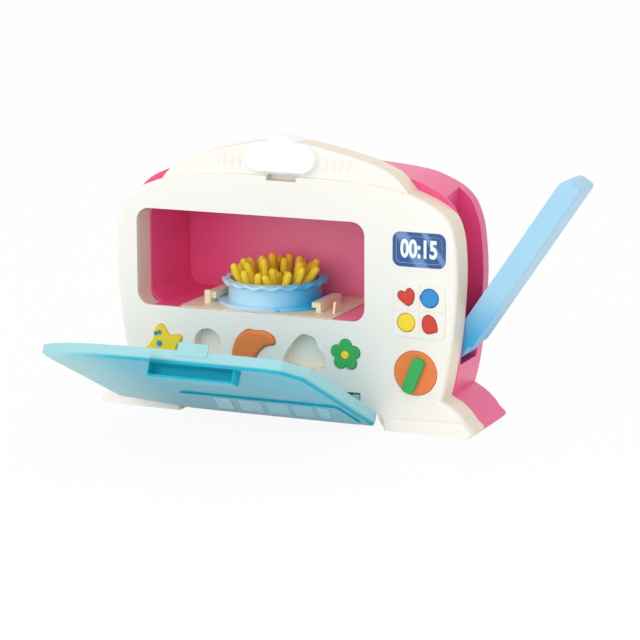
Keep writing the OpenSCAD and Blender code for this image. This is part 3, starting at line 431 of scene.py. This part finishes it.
def only(obj):
    """Selects one object and makes it active."""
    if bpy.context.mode != "OBJECT":
        bpy.ops.object.mode_set(mode="OBJECT")
    bpy.ops.object.select_all(action="DESELECT")
    obj.select_set(True)
    bpy.context.view_layer.objects.active = obj


def merged_copy(node, name, planar=True):
    """An editable copy of a CAD node without doubled corners, its flat faces joined if planar."""
    only(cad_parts[node])
    bpy.ops.object.duplicate()
    obj = bpy.context.view_layer.objects.active
    obj.name = name
    obj.data.name = name
    for key in [k for k in obj.keys() if k.startswith("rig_")]:
        del obj[key]
    obj.parent = None
    obj.matrix_world = Matrix.Identity(4)
    bpy.ops.object.mode_set(mode="EDIT")
    bpy.ops.mesh.select_all(action="SELECT")
    bpy.ops.mesh.customdata_custom_splitnormals_clear()
    bpy.ops.mesh.remove_doubles(threshold=DOUBLED)
    if planar:
        bpy.ops.mesh.dissolve_limited(angle_limit=math.radians(1.0))
    bpy.ops.object.mode_set(mode="OBJECT")
    return obj


def add_object(name, data):
    obj = bpy.data.objects.new(name, data)
    bpy.context.scene.collection.objects.link(obj)
    return obj


def level(edge, slack=0.01 * MM):
    """True for an edge whose two ends have the same depth."""
    return abs(edge.verts[0].co.y - edge.verts[1].co.y) < slack


def fillet(obj, width, segments, test, min_angle=25, convex=False, clamp=True):
    """Bevels the edges whose middle passes test, where their two faces meet at an angle.

    Where convex is true, only edges that stand out are bevelled.
    """
    only(obj)
    bpy.ops.object.mode_set(mode="EDIT")
    bpy.ops.mesh.select_mode(type="EDGE")
    bpy.ops.mesh.select_all(action="DESELECT")
    mesh = bmesh.from_edit_mesh(obj.data)
    found = False
    for edge in mesh.edges:
        if len(edge.link_faces) != 2:
            continue
        # An edge that is too flat is left out, and so is one that folds back on itself.
        if not min_angle <= math.degrees(edge.calc_face_angle(0)) <= 180:
            continue
        if convex and edge.calc_face_angle_signed(0) <= 0:
            continue
        middle = (edge.verts[0].co + edge.verts[1].co) / 2
        if test(middle, edge):
            edge.select_set(True)
            found = True
    bmesh.update_edit_mesh(obj.data)
    if found:
        bpy.ops.mesh.bevel(offset=width, offset_type="OFFSET", segments=segments, profile=0.5,
                           affect="EDGES", clamp_overlap=clamp, loop_slide=True)
    bpy.ops.object.mode_set(mode="OBJECT")


def weld(obj):
    """Joins doubled corners and turns every face outward."""
    only(obj)
    bpy.ops.object.mode_set(mode="EDIT")
    bpy.ops.mesh.select_all(action="SELECT")
    bpy.ops.mesh.remove_doubles(threshold=DOUBLED)
    bpy.ops.mesh.normals_make_consistent(inside=False)
    bpy.ops.object.mode_set(mode="OBJECT")


def smooth(obj, angle=35, weighted=True):
    """Smooth shading with flat faces kept flat."""
    only(obj)
    bpy.ops.object.shade_smooth_by_angle(angle=math.radians(angle))
    if weighted:
        mod = obj.modifiers.new("flat_faces", "WEIGHTED_NORMAL")
        mod.keep_sharp = True
        bpy.ops.object.modifier_apply(modifier=mod.name)


def dress(obj, material, body, slot, *nodes):
    """Gives a finished piece its material and its body, and hides the CAD nodes it stands for."""
    obj.data.materials.clear()
    obj.data.materials.append(material)
    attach(obj, body)
    if nodes:
        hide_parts(*nodes)
    return obj


def paint(node, material):
    """Gives a kept CAD node its finish."""
    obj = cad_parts[node]
    obj.data.materials.clear()
    obj.data.materials.append(material)


def depth(p):
    """Depth behind the white front face, in millimetres."""
    return (p.y - FACE_Y) / MM


def within(x, z, area):
    left, right, bottom, top = area
    return left < x < right and bottom < z < top


def inside_details(p):
    """True inside the area of the window, the moulds, the controls or the latch slot."""
    return any(within(p.x / MM, p.z / MM, area)
               for area in (WINDOW, MOULDS, CONTROLS, LATCH_SLOT))


def closed_door(p):
    """A point of the open door, as it lies when the door is shut, in mm from the front face."""
    q = Matrix.Rotation(-DOOR_OPEN, 3, "X") @ (p - HINGE) + HINGE
    return Vector((q.x, q.y - FACE_Y, q.z)) / MM


def lever_local(p):
    """A point's place along the lever, its depth and its place across the lever, in mm."""
    d = p - PIVOT
    along = d.x * math.cos(LEVER_REST) + d.z * math.sin(LEVER_REST)
    across = -d.x * math.sin(LEVER_REST) + d.z * math.cos(LEVER_REST)
    return Vector((along / MM, depth(p), across / MM))


def plate(name, centre, size, radius, front, back, inset=0.0, floor=0.0):
    """A flat plate with round corners in front of the face; depths are in metres from it.

    With an inset only a raised border of that width is left, round a floor at its own depth.
    """
    bpy.ops.object.select_all(action="DESELECT")
    bpy.ops.mesh.primitive_plane_add(
        size=1, location=(centre[0], FACE_Y + back, centre[1]), rotation=(math.pi / 2, 0, 0))
    obj = bpy.context.view_layer.objects.active
    obj.name = name
    obj.scale = (size[0], size[1], 1)
    bpy.ops.object.transform_apply(location=True, rotation=True, scale=True)
    bpy.ops.object.mode_set(mode="EDIT")
    bpy.ops.mesh.select_all(action="SELECT")
    bpy.ops.mesh.bevel(offset=radius, segments=8, affect="VERTICES")
    bpy.ops.mesh.extrude_region_move(
        TRANSFORM_OT_translate={"value": (0, front - back, 0)})
    if inset:
        bpy.ops.mesh.inset(thickness=inset)
        bpy.ops.transform.translate(value=(0, floor - front, 0))
    bpy.ops.mesh.select_all(action="SELECT")
    bpy.ops.mesh.normals_make_consistent(inside=False)
    bpy.ops.object.mode_set(mode="OBJECT")
    return obj


def open_out(obj):
    """Turns a piece that was made on the closed door to where the open door is."""
    only(obj)
    obj.matrix_world = (Matrix.Translation(HINGE) @ Matrix.Rotation(DOOR_OPEN, 4, "X")
                        @ Matrix.Translation(-HINGE))
    bpy.ops.object.transform_apply(location=True, rotation=True, scale=True)


def clean_dough(name, node, width, segments, material, slot, lump=0.25 * MM):
    """A dough piece: rounded front, then finely divided and dented by a noise texture."""
    obj = merged_copy(node, name)
    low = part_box(node)[0]
    fillet(obj, width, segments,
           lambda p, e: p.y < low.y + 0.05 * MM and level(e, 0.02 * MM))
    only(obj)
    remesh = obj.modifiers.new("even", "REMESH")
    remesh.mode = "VOXEL"
    remesh.voxel_size = 0.45 * MM
    bpy.ops.object.modifier_apply(modifier=remesh.name)
    soften = obj.modifiers.new("soften", "SMOOTH")
    soften.factor = 0.6
    soften.iterations = 5
    bpy.ops.object.modifier_apply(modifier=soften.name)
    texture = bpy.data.textures.new(name + "_lumps", "CLOUDS")
    texture.noise_scale = 6 * MM
    dent = obj.modifiers.new("dent", "DISPLACE")
    dent.texture = texture
    dent.texture_coords = "LOCAL"
    dent.strength = lump
    dent.mid_level = 0.75
    bpy.ops.object.modifier_apply(modifier=dent.name)
    bpy.data.textures.remove(texture)
    bpy.ops.object.shade_smooth()
    return dress(obj, material, "casing", slot, node)


# ---- Pieces ------------------------------------------------------------------------------------


class OVEN_OT_front(bpy.types.Operator):
    """Front casing with its rounded outer edge, window, moulds and toes"""
    bl_idname = "toy_oven.front"
    bl_label = "Front casing"

    def execute(self, context):
        edge = looks().edge
        obj = merged_copy("front_casing", "front_shell")
        outline = front_outline(obj)
        fillet(obj, edge, 3, self.is_under_crown, 40)
        fillet(obj, edge, 3, lambda p, e: -0.3 < depth(p) < 0.05 and inside_details(p), 40)
        fillet(obj, 2.8 * MM, 5, lambda p, e: depth(p) < -3.9 and p.z > 1 * MM, 40, clamp=False)
        round_rim(obj, outline, looks().shell_edge)
        smooth(obj)
        dress(obj, white_plastic(), "casing", "white_plastic", "front_casing")
        return {"FINISHED"}

    def is_under_crown(self, p, e):
        """The face's own edge where the crown stands on it, outside the latch slot."""
        return (abs(depth(p)) < 0.05 and level(e) and abs(p.x) < CROWN_HALF
                and p.z > 180 * MM and not inside_details(p))


def front_outline(obj):
    """Corners (x, z) of the front face's outline above the toes, from lower right over the top.

    Corners between the sides and below the shoulders, such as a hinge slot's, are left out.
    """
    mesh = bmesh.new()
    mesh.from_mesh(obj.data)
    links = {}
    for edge in mesh.edges:
        flat = [f.normal.y < -0.99 and abs(depth(f.calc_center_median())) < 0.02
                for f in edge.link_faces]
        if len(flat) == 2 and flat[0] != flat[1]:
            a, b = ((v.co.x, v.co.z) for v in edge.verts)
            links.setdefault(a, []).append(b)
            links.setdefault(b, []).append(a)
    mesh.free()
    start = max(links, key=lambda c: c[1])
    loop = [start]
    last, here = None, start
    while len(loop) <= len(links):
        ahead = [c for c in links[here] if c != last and c != here]
        if not ahead or ahead[0] == start:
            break
        last, here = here, ahead[0]
        loop.append(here)
    area = sum(a[0] * b[1] - b[0] * a[1] for a, b in zip(loop, loop[1:] + loop[:1]))
    if area < 0:
        loop.reverse()
    low = min(range(len(loop)), key=lambda i: loop[i][1])
    loop = loop[low:] + loop[:low]
    side = 128 * MM
    shoulder = 150 * MM
    return [(x, z) for x, z in loop if z > RIM_FOOT and (abs(x) > side or z > shoulder)]


def prism(name, corners, front, back):
    """A closed block along the depth, from its corners (x, z) in metres."""
    mesh = bmesh.new()
    near = [mesh.verts.new((x, FACE_Y + front, z)) for x, z in corners]
    far = [mesh.verts.new((x, FACE_Y + back, z)) for x, z in corners]
    mesh.faces.new(near)
    mesh.faces.new(list(reversed(far)))
    for i in range(len(corners)):
        j = (i + 1) % len(corners)
        mesh.faces.new((near[j], near[i], far[i], far[j]))
    bmesh.ops.recalc_face_normals(mesh, faces=mesh.faces)
    data = bpy.data.meshes.new(name)
    mesh.to_mesh(data)
    mesh.free()
    return add_object(name, data)


def combine(obj, other, operation):
    """Applies an exact Boolean with another object, which is then removed."""
    only(obj)
    mod = obj.modifiers.new("cut", "BOOLEAN")
    mod.operation = operation
    mod.solver = "EXACT"
    mod.object = other
    bpy.ops.object.modifier_apply(modifier=mod.name)
    bpy.data.objects.remove(other)


def box_corners(x0, x1, z0, z1):
    return [(x0, z0), (x1, z0), (x1, z1), (x0, z1)]


def round_rim(obj, outline, radius):
    """Keeps what lies in a block that has the shell's outline and a rounded front edge.

    The block reaches a little past the shell, and its three parts end at different depths, so
    that their backs don't share a plane.
    """
    step = 0.02 * MM
    grown = []
    for i, here in enumerate(outline):
        a = Vector(outline[i - 1]) if i else Vector(here) - Vector((0, 1))
        b = Vector(outline[i + 1]) if i + 1 < len(outline) else Vector(here) - Vector((0, 1))
        along = (b - a).normalized()
        grown.append((here[0] + step * along.y, here[1] - step * along.x))
    foot_z = RIM_FOOT - 1 * MM
    grown = [(grown[0][0], foot_z)] + grown + [(grown[-1][0], foot_z)]
    block = prism("rim_block", grown, -step, 60 * MM)
    fillet(block, radius, 6, lambda p, e: depth(p) < 0 and p.z > RIM_FOOT - 0.9 * MM
           and level(e, 0.001 * MM), 30, clamp=False)
    front = -10 * MM
    crown = prism("crown_block", box_corners(-CROWN_HALF, CROWN_HALF, 176 * MM, 240 * MM),
                  front, 61 * MM)
    foot = prism("foot_block", box_corners(-175 * MM, 175 * MM, -5 * MM, RIM_FOOT),
                 front, 62 * MM)
    combine(block, crown, "UNION")
    combine(block, foot, "UNION")
    combine(obj, block, "INTERSECT")


class OVEN_OT_crown(bpy.types.Operator):
    """Raised crown with finger ridges, and the plain badge plate on it"""
    bl_idname = "toy_oven.crown"
    bl_label = "Crown and badge plate"

    def execute(self, context):
        obj = merged_copy("crown_cover", "crown")
        fillet(obj, 5 * MM, 6, lambda p, e: abs(depth(p) - 4) < 0.05 and p.z > 205 * MM, 30)
        fillet(obj, 3 * MM, 4, lambda p, e: depth(p) > 25.9 and p.z > 207 * MM, 30)
        smooth(obj)
        dress(obj, white_plastic(), "casing", "white_plastic", "crown_cover")
        for side in (-1, 1):
            for i in range(4):
                self.ridge(side, i)
        badge = merged_copy("crown_plate", "badge_plate")
        fillet(badge, 1.4 * MM, 4, lambda p, e: depth(p) < -2.95, 40)
        fillet(badge, 2 * MM, 4, lambda p, e: depth(p) > 21.9, 40)
        smooth(badge)
        dress(badge, plastic("badge_white", (0.83, 0.83, 0.80), 0.3, 0.015), "casing",
              "badge_white", "crown_plate")
        return {"FINISHED"}

    def ridge(self, side, i):
        """One soft upright finger ridge beside the badge plate."""
        x = side * (38 + 6.5 * i) * MM
        bpy.ops.object.select_all(action="DESELECT")
        bpy.ops.mesh.primitive_uv_sphere_add(
            segments=16, ring_count=12, radius=1, location=(x, FACE_Y + 4.3 * MM, 209.5 * MM))
        obj = bpy.context.view_layer.objects.active
        obj.name = "finger_ridge_%s_%d" % ("right" if side > 0 else "left", i + 1)
        obj.scale = (1.1 * MM, 1.1 * MM, (6.5 - 0.5 * i) * MM)
        obj.rotation_euler = (0, side * math.radians(4 + 3 * i), 0)
        bpy.ops.object.transform_apply(location=True, rotation=True, scale=True)
        bpy.ops.object.shade_smooth()
        dress(obj, white_plastic(), "casing", "white_plastic")


class OVEN_OT_rear(bpy.types.Operator):
    """Pink rear casing with its lever recess, ribs and stepped back"""
    bl_idname = "toy_oven.rear"
    bl_label = "Rear casing"

    def execute(self, context):
        obj = merged_copy("rear_casing", "rear_shell")
        fillet(obj, 3.5 * MM, 5, self.is_back_edge, 40)
        fillet(obj, 2.5 * MM, 4, lambda p, e: depth(p) > 103, 40)
        fillet(obj, 0.9 * MM, 3, self.is_recess, 40, True)
        smooth(obj)
        pink = plastic("pink_shell", looks().pink, 0.22, 0.05)
        dress(obj, pink, "casing", "pink_plastic", "rear_casing")
        return {"FINISHED"}

    def is_back_edge(self, p, e):
        """The outer edge of the casing's back, from which the bulge stands out."""
        return (abs(depth(p) - BODY_DEPTH) < 0.05 and level(e) and p.z > 26 * MM
                and (abs(p.x) > 135.5 * MM or p.z > 180 * MM))

    def is_recess(self, p, e):
        """The edges in and round the lever's recess."""
        return p.x > 122 * MM and p.z > 62 * MM and 27.5 < depth(p) < 66


class OVEN_OT_cavity(bpy.types.Operator):
    """Deep pink cavity liner and the cream platform with its rails"""
    bl_idname = "toy_oven.cavity"
    bl_label = "Cavity and platform"

    def execute(self, context):
        obj = merged_copy("oven_liner", "cavity_liner", planar=False)
        fillet(obj, 7 * MM, 6, lambda p, e: abs(depth(p) - 97) < 0.05, 40)
        smooth(obj, weighted=False)
        # Painted light: the liner grows paler towards the right, where reflected light falls.
        deep = graded_plastic("deep_pink", looks().magenta, looks().lit_pink, "X", -105 * MM,
                              -10 * MM, 0.25, 0.05)
        dress(obj, deep, "casing", "magenta_plastic", "oven_liner")
        deck = merged_copy("platform", "platform_deck")
        fillet(deck, 0.7 * MM, 3, lambda p, e: p.z > 85.9 * MM, 40, True)
        smooth(deck)
        dress(deck, plastic("cream_deck", looks().cream, 0.3, 0.04), "casing", "cream_plastic",
              "platform")
        return {"FINISHED"}


class OVEN_OT_panel(bpy.types.Operator):
    """Timer label with plain digits, and the block of four moulds"""
    bl_idname = "toy_oven.panel"
    bl_label = "Timer and mould block"

    def execute(self, context):
        obj = merged_copy("button_panel", "mould_block")
        fillet(obj, 0.6 * MM, 3, lambda p, e: depth(p) < -1.5, 40, True)
        smooth(obj)
        dress(obj, white_plastic(), "casing", "white_plastic", "button_panel")
        paint("timer_label", white_plastic())
        self.display()
        self.digits()
        return {"FINISHED"}

    def display(self):
        centre = (TIMER.x, TIMER.z)
        glass = plate("timer_display", centre, (44.8 * MM, 27.8 * MM), 6.4 * MM,
                      -0.75 * MM, -0.4 * MM)
        fillet(glass, 0.2 * MM, 2, lambda p, e: depth(p) < -0.7, 40)
        smooth(glass)
        dress(glass, display_material(), "casing", "label")
        line = plate("timer_line", centre, (38.6 * MM, 21.4 * MM), 4.2 * MM,
                     -0.84 * MM, -0.5 * MM, 0.55 * MM, -0.6 * MM)
        smooth(line)
        dress(line, plastic("display_line", (0.80, 0.34, 0.38), 0.3, 0.02), "casing",
              "label")

    def digits(self):
        """Plain white figures, as any timer shows."""
        bpy.ops.object.select_all(action="DESELECT")
        bpy.ops.object.text_add(location=(0, 0, 0))
        obj = bpy.context.view_layer.objects.active
        obj.name = "timer_digits"
        obj.data.body = "00:15"
        obj.data.align_x = "CENTER"
        obj.data.align_y = "CENTER"
        obj.data.size = 18.5 * MM
        obj.data.extrude = 0.15 * MM
        obj.data.offset = 0.6 * MM
        bpy.ops.object.convert(target="MESH")
        obj.scale = (0.76, 1.06, 1.0)
        obj.rotation_euler = (math.pi / 2, 0, 0)
        obj.location = TIMER + Vector((0, -0.85 * MM, 0))
        bpy.ops.object.transform_apply(location=True, rotation=True, scale=True)
        weld(obj)
        dress(obj, plastic("digit_white", (0.93, 0.93, 0.93), 0.3, 0.01), "casing", "label")


class OVEN_OT_dough(bpy.types.Operator):
    """Dough pieces pressed into the moulds"""
    bl_idname = "toy_oven.dough"
    bl_label = "Dough in the moulds"

    def execute(self, context):
        look = looks()
        yellow = dough("yellow_dough", look.yellow)
        orange = dough("orange_dough", look.orange)
        red = dough("red_dough", look.red)
        green = dough("green_dough", look.green)
        blue = dough("blue_dough", look.blue)
        clean_dough("star", "star_dough", 2.4 * MM, 5, yellow, "yellow_dough")
        clean_dough("croissant", "croissant_dough", 3.0 * MM, 6, orange, "orange_dough", 0.7 * MM)
        clean_dough("petals", "flower_petals", 3.2 * MM, 6, green, "green_dough", 0.4 * MM)
        clean_dough("flower_button", "flower_centre", 1.2 * MM, 4, yellow, "yellow_dough")
        clean_dough("heart", "heart_dough", 2.6 * MM, 5, red, "red_dough")
        clean_dough("ball_blue", "blue_ball_dough", 2.6 * MM, 5, blue, "blue_dough")
        clean_dough("ball_yellow", "yellow_ball_dough", 2.6 * MM, 5, yellow, "yellow_dough")
        clean_dough("strawberry", "strawberry_dough", 2.6 * MM, 5, red, "red_dough")
        clean_dough("dial_disc", "dial_dough_disc", 1.3 * MM, 4, orange, "orange_dough")
        clean_dough("dial_bar", "dial_dough_bar", 2.0 * MM, 5, green, "green_dough")
        paint("star_dots", blue)
        return {"FINISHED"}


class OVEN_OT_door(bpy.types.Operator):
    """Translucent tray door with its pull, band and hinge arms"""
    bl_idname = "toy_oven.door"
    bl_label = "Door"

    def execute(self, context):
        obj = merged_copy("door", "door_tray")
        fillet(obj, 4.2 * MM, 6, self.is_outer_edge, 15, True)
        fillet(obj, 1.2 * MM, 3, lambda p, e: closed_door(p).y < -18, 40, True)
        smooth(obj, 30)
        look = looks()
        clear = door_material("clear_turquoise", look.pale_turquoise, look.turquoise,
                              {"Transmission Weight": 0.2, "IOR": 1.3,
                               "Specular IOR Level": 0.06, "Subsurface Weight": 0.4,
                               "Subsurface Scale": 0.007, "Subsurface Radius": (0.4, 1.0, 1.0)})
        dress(obj, clear, "door", "door_plastic", "door")
        self.band_windows(graded_plastic(
            "pale_window", (0.40, 0.80, 0.85), (0.16, 0.64, 0.76), "X", -60 * MM, 80 * MM, 0.15,
            0.03, 0.01, {"Specular IOR Level": 0.06}))
        return {"FINISHED"}

    def is_outer_edge(self, p, e):
        """The door's outer edges, without its band, its pull, its tab and its arms."""
        q = closed_door(p)
        band = within(q.x, q.z, DOOR_BAND) and q.y < -10.5
        pull = within(q.x, q.z, DOOR_PULL)
        arms = q.z < 30 and abs(abs(q.x) - 62.5) < 8
        return DOOR_FRONT < q.y < -1.5 and not (band or pull or arms)

    def band_windows(self, material):
        """Pale rectangles in the raised band along the door's foot."""
        for i, (left, width) in enumerate(BAND_WINDOWS):
            x = (left + width / 2) * MM
            obj = plate("band_window_%d" % (i + 1), (x, 62 * MM), (width * MM, 42 * MM), 1.6 * MM,
                        -12.25 * MM, -11.8 * MM)
            for vert in obj.data.vertices:
                vert.co.x += WINDOW_SLANT * (vert.co.z - 83 * MM)
            fillet(obj, 0.2 * MM, 2, lambda p, e: depth(p) < -12.2, 40)
            smooth(obj)
            open_out(obj)
            dress(obj, material, "door", "door_plastic")


class OVEN_OT_lever(bpy.types.Operator):
    """Side lever with its rounded tip, shaft and gear"""
    bl_idname = "toy_oven.lever"
    bl_label = "Lever"

    def execute(self, context):
        obj = merged_copy("lever", "side_lever")
        fillet(obj, 1.6 * MM, 4, self.is_lower_edge, 40, True)
        smooth(obj)
        look = looks()
        # Painted light: the lever grows paler up its arm, where the light falls.
        blue = graded_plastic("lever_blue_lit_arm", look.lever_root, look.lever_blue_lit_arm, "Z", 64 * MM,
                              118 * MM, 0.25, 0.02, 0.0)
        dress(obj, blue, "lever", "lever_plastic", "lever")
        paint("lever_shaft", steel())
        inner = plastic("inner_natural", (0.72, 0.69, 0.62), 0.4, 0.05)
        for node in ("lever_gear", "lift_carriage", "piston_head", "dough_cylinder"):
            paint(node, inner)
        for node in ["piston_screw", "guide_post_left", "guide_post_right", "hinge_pin_left",
                     "hinge_pin_right"] + ["casing_screw_%d" % i for i in range(1, 7)]:
            paint(node, steel())
        return {"FINISHED"}

    def is_lower_edge(self, p, e):
        """The edges of the arm's underside and of its tip, clear of the pivot."""
        q = lever_local(p)
        return q.x > 9.5 and (q.z < -8 or q.x > 160)


class OVEN_OT_pan(bpy.types.Operator):
    """Pan with its scalloped rim, die plate and strands of dough"""
    bl_idname = "toy_oven.pan"
    bl_label = "Pan and strands"

    def execute(self, context):
        obj = merged_copy("pan", "pan_dish", planar=False)
        self.wave_rim(obj)
        fillet(obj, 1.5 * MM, 4, lambda p, e: p.z > 101 * MM, 40, True, clamp=False)
        smooth(obj)
        look = looks()
        blue = graded_plastic("pan_blue", look.pan_pale, look.pan_blue, "X", PAN.x + 2 * MM,
                              PAN.x + 42 * MM, 0.12, 0.03, 0.01)
        dress(obj, blue, "pan", "pan_plastic", "pan")
        paint("die_plate", blue)
        yellow = dough("yellow_dough", look.yellow)
        self.pad(yellow)
        self.strands(yellow)
        return {"FINISHED"}

    def wave_rim(self, obj):
        """Lets the rim rise and fall with its scallops."""
        rim_bottom = PAN_TOP - 3.2 * MM
        rim_inner = 39 * MM
        rise = 1.3 * MM
        for vert in obj.data.vertices:
            x = vert.co.x - PAN.x
            y = vert.co.y - PAN.y
            if vert.co.z > rim_bottom and math.hypot(x, y) > rim_inner:
                swing = math.cos(SCALLOPS * math.atan2(y, x))
                vert.co.z += rise * (swing - 1)

    def pad(self, material):
        """Dough below the die plate."""
        bpy.ops.object.select_all(action="DESELECT")
        bpy.ops.mesh.primitive_cylinder_add(
            vertices=64, radius=33 * MM, depth=13 * MM,
            location=(PAN.x, PAN.y, DIE_TOP - 2.2 * MM - 6.5 * MM))
        obj = bpy.context.view_layer.objects.active
        obj.name = "dough_pad"
        bpy.ops.object.transform_apply(location=True, rotation=True, scale=True)
        fillet(obj, 1.5 * MM, 3, lambda p, e: True, 40)
        smooth(obj)
        dress(obj, material, "pan", "yellow_dough", "fries_dough")

    def strands(self, material):
        """Strands of dough that lean out of the die in all directions."""
        rng = random.Random(7)
        radius = 3.1 * MM
        outermost = STRAND_RINGS[-1][0]
        curve = bpy.data.curves.new("dough_strands", "CURVE")
        curve.dimensions = "3D"
        curve.bevel_depth = radius
        curve.bevel_resolution = 5
        curve.use_fill_caps = True
        for ring, (distance, count) in enumerate(STRAND_RINGS):
            for i in range(count):
                around = math.radians(i * 360 / count + 11 * ring)
                foot = PAN + Vector((distance * MM * math.cos(around),
                                     distance * MM * math.sin(around), DIE_TOP - 1.5 * MM))
                lean = around + rng.uniform(-0.8, 0.8)
                out = Vector((math.cos(lean), math.sin(lean), 0))
                tilt = math.radians(rng.uniform(2, 10) + 17 * (distance / outermost) ** 2)
                length = (rng.uniform(18, 24) - 4 * distance / outermost) * MM
                if rng.random() < 0.16:
                    length *= 0.5
                self.strand(curve, foot, out, tilt, length, radius, rng.uniform(-0.5, 0.8))
        only(add_object("dough_strands", curve))
        bpy.ops.object.convert(target="MESH")
        obj = bpy.context.view_layer.objects.active
        weld(obj)
        bpy.ops.object.shade_smooth()
        dress(obj, material, "pan", "yellow_dough")

    def strand(self, curve, foot, out, tilt, length, radius, bend):
        """One strand: an arc in the plane of its lean, with a round end."""
        steps = 9
        cap = [(0.5, 0.87), (0.8, 0.6), (0.95, 0.31), (1.0, 0.02)]
        points = []
        place = foot.copy()
        for k in range(steps):
            angle = tilt * (1 + bend * k / steps)
            points.append((place.copy(), 1.0))
            place += (out * math.sin(angle) + Vector((0, 0, math.cos(angle)))) * length / steps
        angle = tilt * (1 + bend)
        ahead = out * math.sin(angle) + Vector((0, 0, math.cos(angle)))
        for share, width in cap:
            points.append((place + ahead * radius * (share - 0.4), width))
        spline = curve.splines.new("POLY")
        spline.points.add(len(points) - 1)
        for point, (co, width) in zip(spline.points, points):
            point.co = (*co, 1)
            point.radius = width


# ---- Stage ---------------------------------------------------------------------------------------


# Name, place, size and power of each lamp.
LAMPS = (
    ("key", (-0.9, -2.2, 1.3), 1.5, 8.5), ("front", (0.9, -2.3, 0.7), 1.6, 7.0),
    ("top", (0.1, 0.3, 2.4), 1.8, 4.0), ("low", (-0.2, -2.0, 0.3), 1.2, 4.5))


# The camera, fitted to the photograph's straight edges. Places are in mm from the front face.
CAMERA_PLACE = Vector((854.47, -1905.61, 520.23))
CAMERA_TARGET = Vector((33.784, 0, 84.889))
CAMERA_LENS = 149.06
CAMERA_ROLL = math.radians(-0.19)
SENSOR_WIDTH = 36


def seen_directly(tree):
    """1 for camera, glossy and transmission rays, so that metal and glass show the white too."""
    path = tree.nodes.new("ShaderNodeLightPath")
    either = path.outputs["Is Camera Ray"]
    for name in ("Is Glossy Ray", "Is Transmission Ray"):
        either = calculate(tree, "MAXIMUM", either, path.outputs[name])
    return either


class OVEN_OT_stage(bpy.types.Operator):
    """Pale floor, soft lamps and the camera"""
    bl_idname = "toy_oven.stage"
    bl_label = "Stage"

    def execute(self, context):
        self.floor()
        self.lamps()
        self.camera(context)
        return {"FINISHED"}

    def floor(self):
        bpy.ops.object.select_all(action="DESELECT")
        bpy.ops.mesh.primitive_plane_add(size=14, location=(0, 0, -0.02 * MM))
        obj = bpy.context.view_layer.objects.active
        obj.name = "floor"
        mat = bpy.data.materials.new("pale_floor")
        mat.use_nodes = True
        tree = mat.node_tree
        bsdf = tree.nodes["Principled BSDF"]
        bsdf.inputs["Base Color"].default_value = (0.95, 0.95, 0.95, 1)
        bsdf.inputs["Roughness"].default_value = 0.8
        bsdf.inputs["Specular IOR Level"].default_value = 0.1
        glow = tree.nodes.new("ShaderNodeEmission")
        glow.inputs["Color"].default_value = (1, 1, 1, 1)
        mix = tree.nodes.new("ShaderNodeMixShader")
        share = calculate(tree, "MULTIPLY", seen_directly(tree), 0.93)
        for socket, source in zip(mix.inputs, (share, bsdf.outputs[0], glow.outputs[0])):
            tree.links.new(source, socket)
        tree.links.new(mix.outputs[0], tree.nodes["Material Output"].inputs["Surface"])
        obj.data.materials.append(mat)

    def lamps(self):
        world = bpy.data.worlds.new("studio")
        bpy.context.scene.world = world
        world.use_nodes = True
        tree = world.node_tree
        back = tree.nodes["Background"]
        back.inputs["Color"].default_value = (1, 1, 1, 1)
        strength = spread(tree, seen_directly(tree), 0, 1, 0.82, 1.0)
        tree.links.new(strength, back.inputs["Strength"])
        for name, place, size, power in LAMPS:
            light = bpy.data.lights.new(name, "AREA")
            light.size = size
            light.energy = power
            lamp = add_object(name, light)
            lamp.location = place
            aim = Vector((0, 0, 0.1)) - Vector(place)
            lamp.rotation_euler = aim.to_track_quat("-Z", "Y").to_euler()

    def camera(self, context):
        data = bpy.data.cameras.new("view")
        data.sensor_width = SENSOR_WIDTH
        data.lens = CAMERA_LENS
        data.clip_end = 30
        cam = add_object("view", data)
        place = CAMERA_PLACE * MM + Vector((0, FACE_Y, 0))
        target = CAMERA_TARGET * MM + Vector((0, FACE_Y, 0))
        aim = (target - place).to_track_quat("-Z", "Y")
        cam.matrix_world = (Matrix.Translation(place) @ aim.to_matrix().to_4x4()
                            @ Matrix.Rotation(CAMERA_ROLL, 4, "Z"))
        context.scene.camera = cam
        context.scene.view_settings.view_transform = "Standard"


class OVEN_PT_panel(bpy.types.Panel):
    """Sidebar panel with the oven's sizes, colours and operators"""
    bl_label = "Toy Oven"
    bl_idname = "OVEN_PT_panel"
    bl_space_type = "VIEW_3D"
    bl_region_type = "UI"
    bl_category = "Toy Oven"

    def draw(self, context):
        look = context.scene.toy_oven
        for name in look.bl_rna.properties.keys():
            if name not in ("rna_type", "name"):
                self.layout.prop(look, name)
        for step in STEPS:
            self.layout.operator(step.bl_idname)


STEPS = (OVEN_OT_stage, OVEN_OT_front, OVEN_OT_crown, OVEN_OT_rear, OVEN_OT_cavity, OVEN_OT_panel,
         OVEN_OT_dough, OVEN_OT_door, OVEN_OT_lever, OVEN_OT_pan)
CLASSES = (OvenLooks,) + STEPS + (OVEN_PT_panel,)


def register():
    for cls in CLASSES:
        bpy.utils.register_class(cls)
    bpy.types.Scene.toy_oven = bpy.props.PointerProperty(type=OvenLooks)


def unregister():
    del bpy.types.Scene.toy_oven
    for cls in reversed(CLASSES):
        bpy.utils.unregister_class(cls)


def main():
    register()
    for step in STEPS:
        group, name = step.bl_idname.split(".")
        getattr(getattr(bpy.ops, group), name)()


if __name__ == "__main__":
    main()
